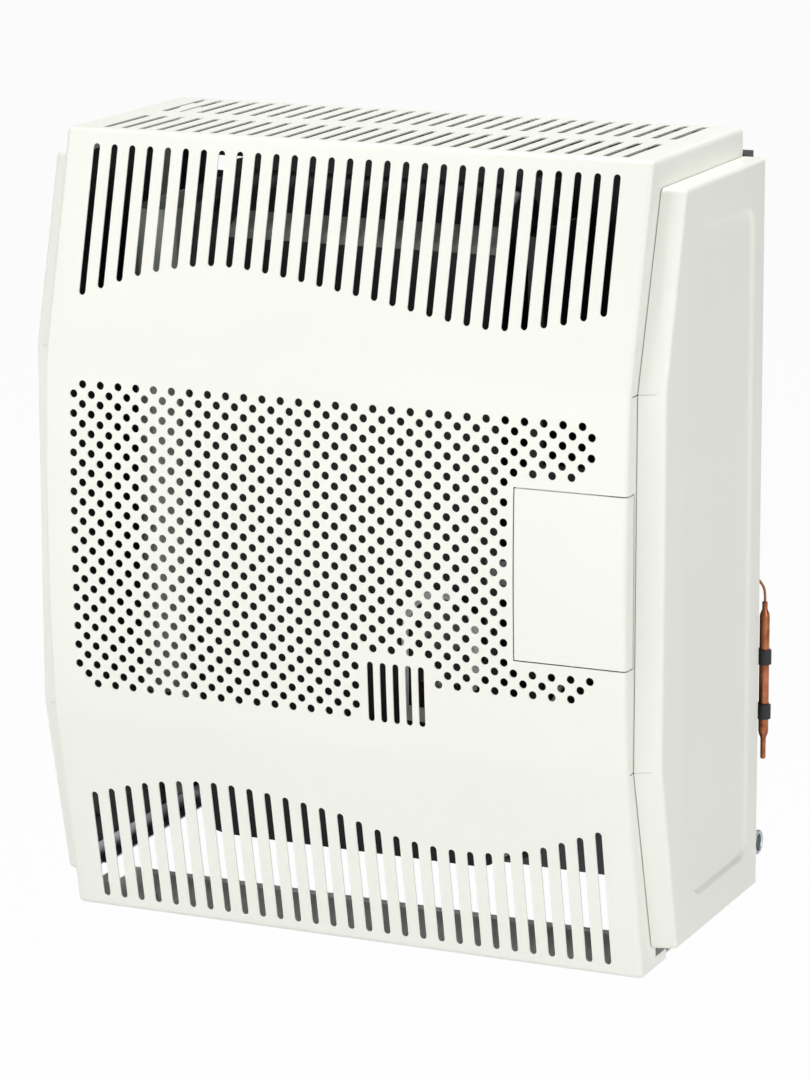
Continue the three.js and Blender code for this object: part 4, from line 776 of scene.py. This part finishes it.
def control_knob():
    rear = CONTROL_Y - 11
    front = rear - 23
    sides = 144
    sections = []
    profile = [(rear, -0.8), (rear - 0.8, 0), (front + 8, 0.3), (front + 5.4, 0.9), (front + 5, 1.6)]
    for y, shrink in profile:
        loop = []
        for k in range(sides):
            a = 2 * math.pi * k / sides
            radius = 20 - abs(shrink) - 0.9 * (0.5 + 0.5 * math.cos(12 * a)) ** 2
            loop.append((KNOB_X + radius * math.cos(a), KNOB_Z + radius * math.sin(a)))
        sections.append((y, loop))
    knob = loft("knob", sections, "y")
    cap = [(0, front + 2.2), (13, front + 2), (15.2, front + 2.6), (17.2, front + 5.5), (0, front + 5.5)]
    carve(knob, turned("cap", cap, (KNOB_X, KNOB_Z), "y", 72), "UNION")
    pointer = rounded([(KNOB_X - 2, KNOB_Z - 3, 1, 4), (KNOB_X + 2, KNOB_Z - 3, 1, 4),
                       (KNOB_X + 2, KNOB_Z + 15, 1.9, 6), (KNOB_X - 2, KNOB_Z + 15, 1.9, 6)])
    carve(knob, prisms("pointer", [pointer], "y", front, front + 3), "UNION")
    carve(knob, prisms("bore", [circle(KNOB_X, KNOB_Z, 5.3, 40)], "y", CONTROL_Y - 33.3, rear + 1))
    return smooth(knob, 28)


stand_for(control_knob(), "knob", "black_plastic", BLACK, "control_knob")

spindle_front, spindle_rear = CONTROL_Y - 33, CONTROL_Y + 17.3
spindle = [
    (0, spindle_front), (4.2, spindle_front), (5, spindle_front + 0.8), (5, spindle_rear - 0.5),
    (4.5, spindle_rear), (0, spindle_rear),
]
spindle_piece = turned("spindle", spindle, (KNOB_X, KNOB_Z), "y", 40)
stand_for(spindle_piece, "spindle", "brass", BRASS, "valve_spindle")

nut = CONTROL_Y - 3.3
barrel = [
    (0, CONTROL_Y + 14), (6.3, CONTROL_Y + 14), (6.3, nut + 0.4), (6.8, nut), (11.8, nut),
    (12.5, nut + 0.7), (12.5, CONTROL_Y - 0.3), (9, CONTROL_Y - 0.3), (9, nut + 45.4),
    (8.4, nut + 46), (0, nut + 46),
]
barrel_piece = turned("igniter_barrel", barrel, (KNOB_X, BUTTON_Z), "y", 56)
stand_for(barrel_piece, "heater", "black_plastic", BLACK, "igniter_body")
button = CONTROL_Y - 13
button_cap = [
    (0, button), (4, button + 0.05), (5.2, button + 0.4), (5.8, button + 1), (6, button + 1.9),
    (6, CONTROL_Y + 6), (0, CONTROL_Y + 6),
]
cap_piece = turned("igniter_cap", button_cap, (KNOB_X, BUTTON_Z), "y", 56)
stand_for(cap_piece, "igniter", "ivory_button", BUTTON, "igniter_button")

# ---------------------------------------------------------------- thermostat bulb, pipes and leads

bulb = [(0, 118), (1.2, 118.1), (1.9, 118.6), (2.1, 119.6), (2.1, 134), (2.5, 136), (3.4, 138), (3.9, 140.5),
        (3.9, 232), (3.4, 234.5), (2.5, 236.6), (2.1, 238), (2.1, 243.1), (1.7, 243.5), (0, 243.5)]
stand_for(turned("bulb", bulb, (BULB_X, BULB_Y), "z", 40), "heater", "copper", COPPER, "sensor_bulb")


def bulb_clip(name, low):
    inner, outer = 4.2, 5.7
    start = math.radians(28)
    span = 2 * math.pi - math.radians(50)
    steps = 40
    arc = [start + math.radians(30) + span * k / steps for k in range(steps + 1)]
    loop = [(BULB_X + outer * math.cos(a), BULB_Y + outer * math.sin(a)) for a in arc]
    loop += [(BULB_X + inner * math.cos(a), BULB_Y + inner * math.sin(a)) for a in reversed(arc)]

    def broken_edges(outline):
        small = inset(outline, 0.3)
        return [(low, small), (low + 0.3, outline), (low + 11.7, outline), (low + 12, small)]

    clip = loft(name, broken_edges(loop), "z")
    stem = rectangle(PLATE_SIDE + 0.3, BULB_X - inner - 0.6, BULB_Y - 2, BULB_Y + 2)
    carve(clip, loft("stem", broken_edges(stem), "z"), "UNION")
    return smooth(clip)


stand_for(bulb_clip("upper_clip", 194), "heater", "black_plastic", BLACK, "bulb_clip_upper")
stand_for(bulb_clip("lower_clip", 150.5), "heater", "black_plastic", BLACK, "bulb_clip_lower")

VALVE_Y = CONTROL_Y + 27.3
VALVE_UNDER = 276.7
FITTING = -175.2
PILOT_Z = 197
BARREL_END = CONTROL_Y + 43

TUBES = [
    ("thin_capillary", "capillary", "copper", COPPER, 1, [
        (200, -152.4, 334), (200, -142.4, 334), (214, -80, 318), (222, -22, 292), (230, BULB_Y, 263),
        (PLATE_SIDE, BULB_Y, 263), (BULB_X - 8, BULB_Y, 262), (BULB_X - 1.6, BULB_Y, 255.5),
        (BULB_X, BULB_Y, 248.5), (BULB_X, BULB_Y, 243.8)]),
    ("supply_pipe", "inlet_pipe", "copper", AGED_COPPER, 5, [
        (233.7, -10, 50), (219.7, -10, 50), (208, -28, 64), (204, -60, 98), (204, VALVE_Y + 30, 180),
        (204, VALVE_Y, 230), (204, VALVE_Y, VALVE_UNDER)]),
    ("gas_pipe", "burner_pipe", "copper", AGED_COPPER, 4, [
        (176, VALVE_Y, VALVE_UNDER), (176, VALVE_Y, 240), (176, VALVE_Y + 6, 190), (162, -138, 158),
        (131.3, -128, 152), (117.3, -128, 152)]),
    ("pilot_tube", "pilot_pipe", "copper", AGED_COPPER, 2, [
        (160.7, VALVE_Y - 8, 300), (155.7, VALVE_Y - 8, 300), (134.7, -187.5, 250), (101, -187.5, 203),
        (72, -186.5, PILOT_Z), (67, FITTING - 5, PILOT_Z), (67, FITTING, PILOT_Z)]),
    ("thermocouple_wire", "thermocouple_lead", "copper", AGED_COPPER, 1.4, [
        (160.7, VALVE_Y - 8, 326), (155.7, VALVE_Y - 8, 326), (120.7, -195.5, 290), (89, -195.5, 186),
        (53, -193.5, 186), (43, FITTING - 5, PILOT_Z), (43, FITTING, PILOT_Z)]),
    ("spark_wire", "ignition_lead", "lead_sleeve", SLEEVE, 1.6, [
        (KNOB_X, BARREL_END, BUTTON_Z), (KNOB_X, BARREL_END + 10, BUTTON_Z), (164, -157, 232),
        (130, -175, 172), (81, -193.2, 172), (59, -191.2, 180), (55, FITTING - 9, PILOT_Z),
        (55, FITTING - 4, PILOT_Z)]),
]
for name, node, slot_name, mat, radius, points in TUBES:
    stand_for(tube(name, points, radius), "heater", slot_name, mat, node)

inlet = [
    (0, 242), (5.4, 242), (6.6, 243), (6.6, 253.2), (7.2, 254), (9, 254), (9.6, 253.4),
    (9.6, 240.6), (9, 240), (6.6, 240), (6.6, 234.4), (6.2, 234), (0, 234),
]
inlet_piece = turned("supply_inlet", inlet, (-10, 50), "x", 56)
for place in (243.5, 245.3, 247.1, 248.9, 250.7):
    edges = (place - 0.45, place + 0.45)
    carve(inlet_piece, ring("thread_groove", (10.5, 9.15), edges, (-10, 50), "x", 56, 0.35))
smooth(inlet_piece)
stand_for(inlet_piece, "heater", "galvanised_steel", ZINC, "gas_inlet")

# ---------------------------------------------------------------- flue, burner and fittings

FLUE = (-25, 430)
exhaust = ring("exhaust_tube", (37.5, 36), (-60, -0.3), FLUE, "y", 96, 0.3)
stand_for(exhaust, "heater", "galvanised_steel", ZINC, "exhaust_spigot")
seal = ring("collar_seal", (73.5, 60), (-24.7, -23.5), FLUE, "y", 96, 0.2)
stand_for(seal, "heater", "fibre_gasket", GASKET, "flue_gasket")
collar = ring("collar", (62.5, 60), (-23.2, -0.3), FLUE, "y", 96, 0.4)
carve(collar, ring("collar_rim", (74.5, 60.2), (-23.2, -21.2), FLUE, "y", 96, 0.4), "UNION")
stand_for(smooth(collar), "heater", "cast_aluminium", CAST, "air_collar")

HEADS = [
    ("pilot_head", "pilot_burner", "brass", BRASS, 67, [
        (0, -174.9), (3.2, -174.9), (3.2, -151.3), (5, -149.3), (5, -139.9), (4.4, -139.3),
        (0, -139.3)]),
    ("spark_plug", "spark_electrode", "white_ceramic", CERAMIC, 55, [
        (0, -178.9), (2, -178.9), (2.6, -176.9), (3.4, -162.3), (2.4, -153.3), (1, -151.3),
        (1, -141.7), (0, -141.3)]),
    ("thermocouple_tip", "thermocouple", "copper", COPPER, 43, [
        (0, -174.9), (3.4, -174.9), (3.4, -168.9), (2.8, -157.3), (2.2, -135.3), (1.2, -134.3),
        (0, -134.3)]),
]
for name, node, slot_name, mat, x, profile in HEADS:
    stand_for(turned(name, profile, (x, PILOT_Z), "y", 32), "heater", slot_name, mat, node)

# ---------------------------------------------------------------- finish of the other solids, some with painted light and some with painted shade

FINISH = {
    "galvanised_steel": ZINC, "black_enamel": ENAMEL, "brass": BRASS, "copper": COPPER,
    "cast_aluminium": CAST,
    "black_plastic": BLACK, "ivory_button": BUTTON, "white_ceramic": CERAMIC, "fibre_gasket": GASKET,
    "ferrite": FERRITE, "lead_sleeve": SLEEVE, "sight_glass": GLASS, "ivory_paint": IVORY,
    "dark_steel": DARK_STEEL_AND_SHADE,
}
# The base rail's pale zinc is painted light; the top deflector's, the magnet bracket's and the sight frame's
# dark parts are painted shade
FINISH_AND_PAINTED_LIGHT_OF_NODE = {
    "base_rail": ZINC_PAINTED_LIGHT, "top_deflector": DULL_STEEL_IN_SHADE, "heat_shield_left": BARE_STEEL,
    "magnet_bracket": DARK_STEEL_AND_SHADE, "access_plate": ENAMEL, "sight_frame": SIGHT_FRAME,
}
slot_of = {s["node"]: s["material_slot"] for s in frame["record"]["subparts"]}
for name, node in frame["nodes"].items():
    for place in node.material_slots:
        place.material = FINISH_AND_PAINTED_LIGHT_OF_NODE.get(name) or FINISH[slot_of[name]]

# ---------------------------------------------------------------- camera, floor and light


def turn_to(azimuth, elevation, roll=0.0):
    """Axes of a camera that looks from this side: right, up and back."""
    a, e, r = (math.radians(v) for v in (azimuth, elevation, roll))
    back = Vector((math.sin(a) * math.cos(e), -math.cos(a) * math.cos(e), math.sin(e)))
    right = Vector((math.cos(a), math.sin(a), 0))
    up = back.cross(right)
    return right * math.cos(r) + up * math.sin(r), up * math.cos(r) - right * math.sin(r), back


def place_by_axes(thing, origin, axes):
    right, up, back = axes
    rotation = Matrix((right, up, back)).transposed().to_4x4()
    thing.matrix_world = Matrix.Translation(origin) @ rotation


# Where the photograph was taken from: degrees round, up and rolled, and metres to the target
CAMERA_SIDE, CAMERA_AWAY, CAMERA_LENS = (24.252, 13.364, -0.335), 3.4608, 144.537
TARGET_X, TARGET_Z = -0.0516, 0.2617

camera_data = bpy.data.cameras.new("camera")
camera_data.sensor_fit = "VERTICAL"
camera_data.sensor_height = 36
camera_data.lens = CAMERA_LENS
camera_data.clip_end = 100
camera = bpy.data.objects.new("camera", camera_data)
bpy.context.scene.collection.objects.link(camera)
axes = turn_to(*CAMERA_SIDE)
target = Vector((TARGET_X, 0, TARGET_Z - DROP * MM))
place_by_axes(camera, target + axes[2] * CAMERA_AWAY, axes)
bpy.context.scene.camera = camera

floor_mesh = bpy.data.meshes.new("floor")
FLOOR_Z, REACH = -0.62, 30
floor_corners = [(x, y, FLOOR_Z) for x, y in rectangle(-REACH, REACH, -REACH, REACH)]
floor_mesh.from_pydata(floor_corners, [], [(0, 1, 2, 3)])
floor = bpy.data.objects.new("floor", floor_mesh)
bpy.context.scene.collection.objects.link(floor)
floor_mat = bpy.data.materials.new("floor")
floor_mat.use_nodes = True
nodes, links = floor_mat.node_tree.nodes, floor_mat.node_tree.links
paint = nodes["Principled BSDF"]
paint.inputs["Base Color"].default_value = (0.86, 0.86, 0.86, 1)
paint.inputs["Roughness"].default_value = 0.9
# Seen directly, in metal or through glass the floor shows nearly white, and it keeps the shadow
glow = nodes.new("ShaderNodeEmission")
glow.inputs["Color"].default_value = (1, 1, 1, 1)
rays = nodes.new("ShaderNodeLightPath")
seen = rays.outputs["Is Camera Ray"]
for kind in ("Is Transmission Ray", "Is Glossy Ray"):
    either = nodes.new("ShaderNodeMath")
    either.operation = "MAXIMUM"
    links.new(seen, either.inputs[0])
    links.new(rays.outputs[kind], either.inputs[1])
    seen = either.outputs[0]
share = nodes.new("ShaderNodeMath")
share.operation = "MULTIPLY"
share.inputs[1].default_value = 0.96
links.new(seen, share.inputs[0])
mix = nodes.new("ShaderNodeMixShader")
links.new(share.outputs[0], mix.inputs[0])
links.new(paint.outputs[0], mix.inputs[1])
links.new(glow.outputs[0], mix.inputs[2])
links.new(mix.outputs[0], nodes["Material Output"].inputs["Surface"])
floor_mesh.materials.append(floor_mat)

world = bpy.data.worlds.new("studio")
bpy.context.scene.world = world
world.use_nodes = True
world.node_tree.nodes["Background"].inputs["Color"].default_value = (1, 1, 1, 1)
world.node_tree.nodes["Background"].inputs["Strength"].default_value = 0.2


def soft_light(name, azimuth, elevation, distance, size, power):
    light = bpy.data.lights.new(name, "AREA")
    light.shape = "SQUARE"
    light.size = size
    light.energy = power
    lamp = bpy.data.objects.new(name, light)
    bpy.context.scene.collection.objects.link(lamp)
    light_axes = turn_to(azimuth, elevation)
    place_by_axes(lamp, light_axes[2] * distance, light_axes)


soft_light("key", -30, 36, 2.8, 0.9, 24)
soft_light("fill", 62, 18, 3.0, 1.8, 33)
soft_light("top", 165, 72, 2.6, 0.2, 43)
soft_light("low", -8, 4, 3.2, 1.6, 20.5)

bpy.context.scene.view_settings.view_transform = "Standard"

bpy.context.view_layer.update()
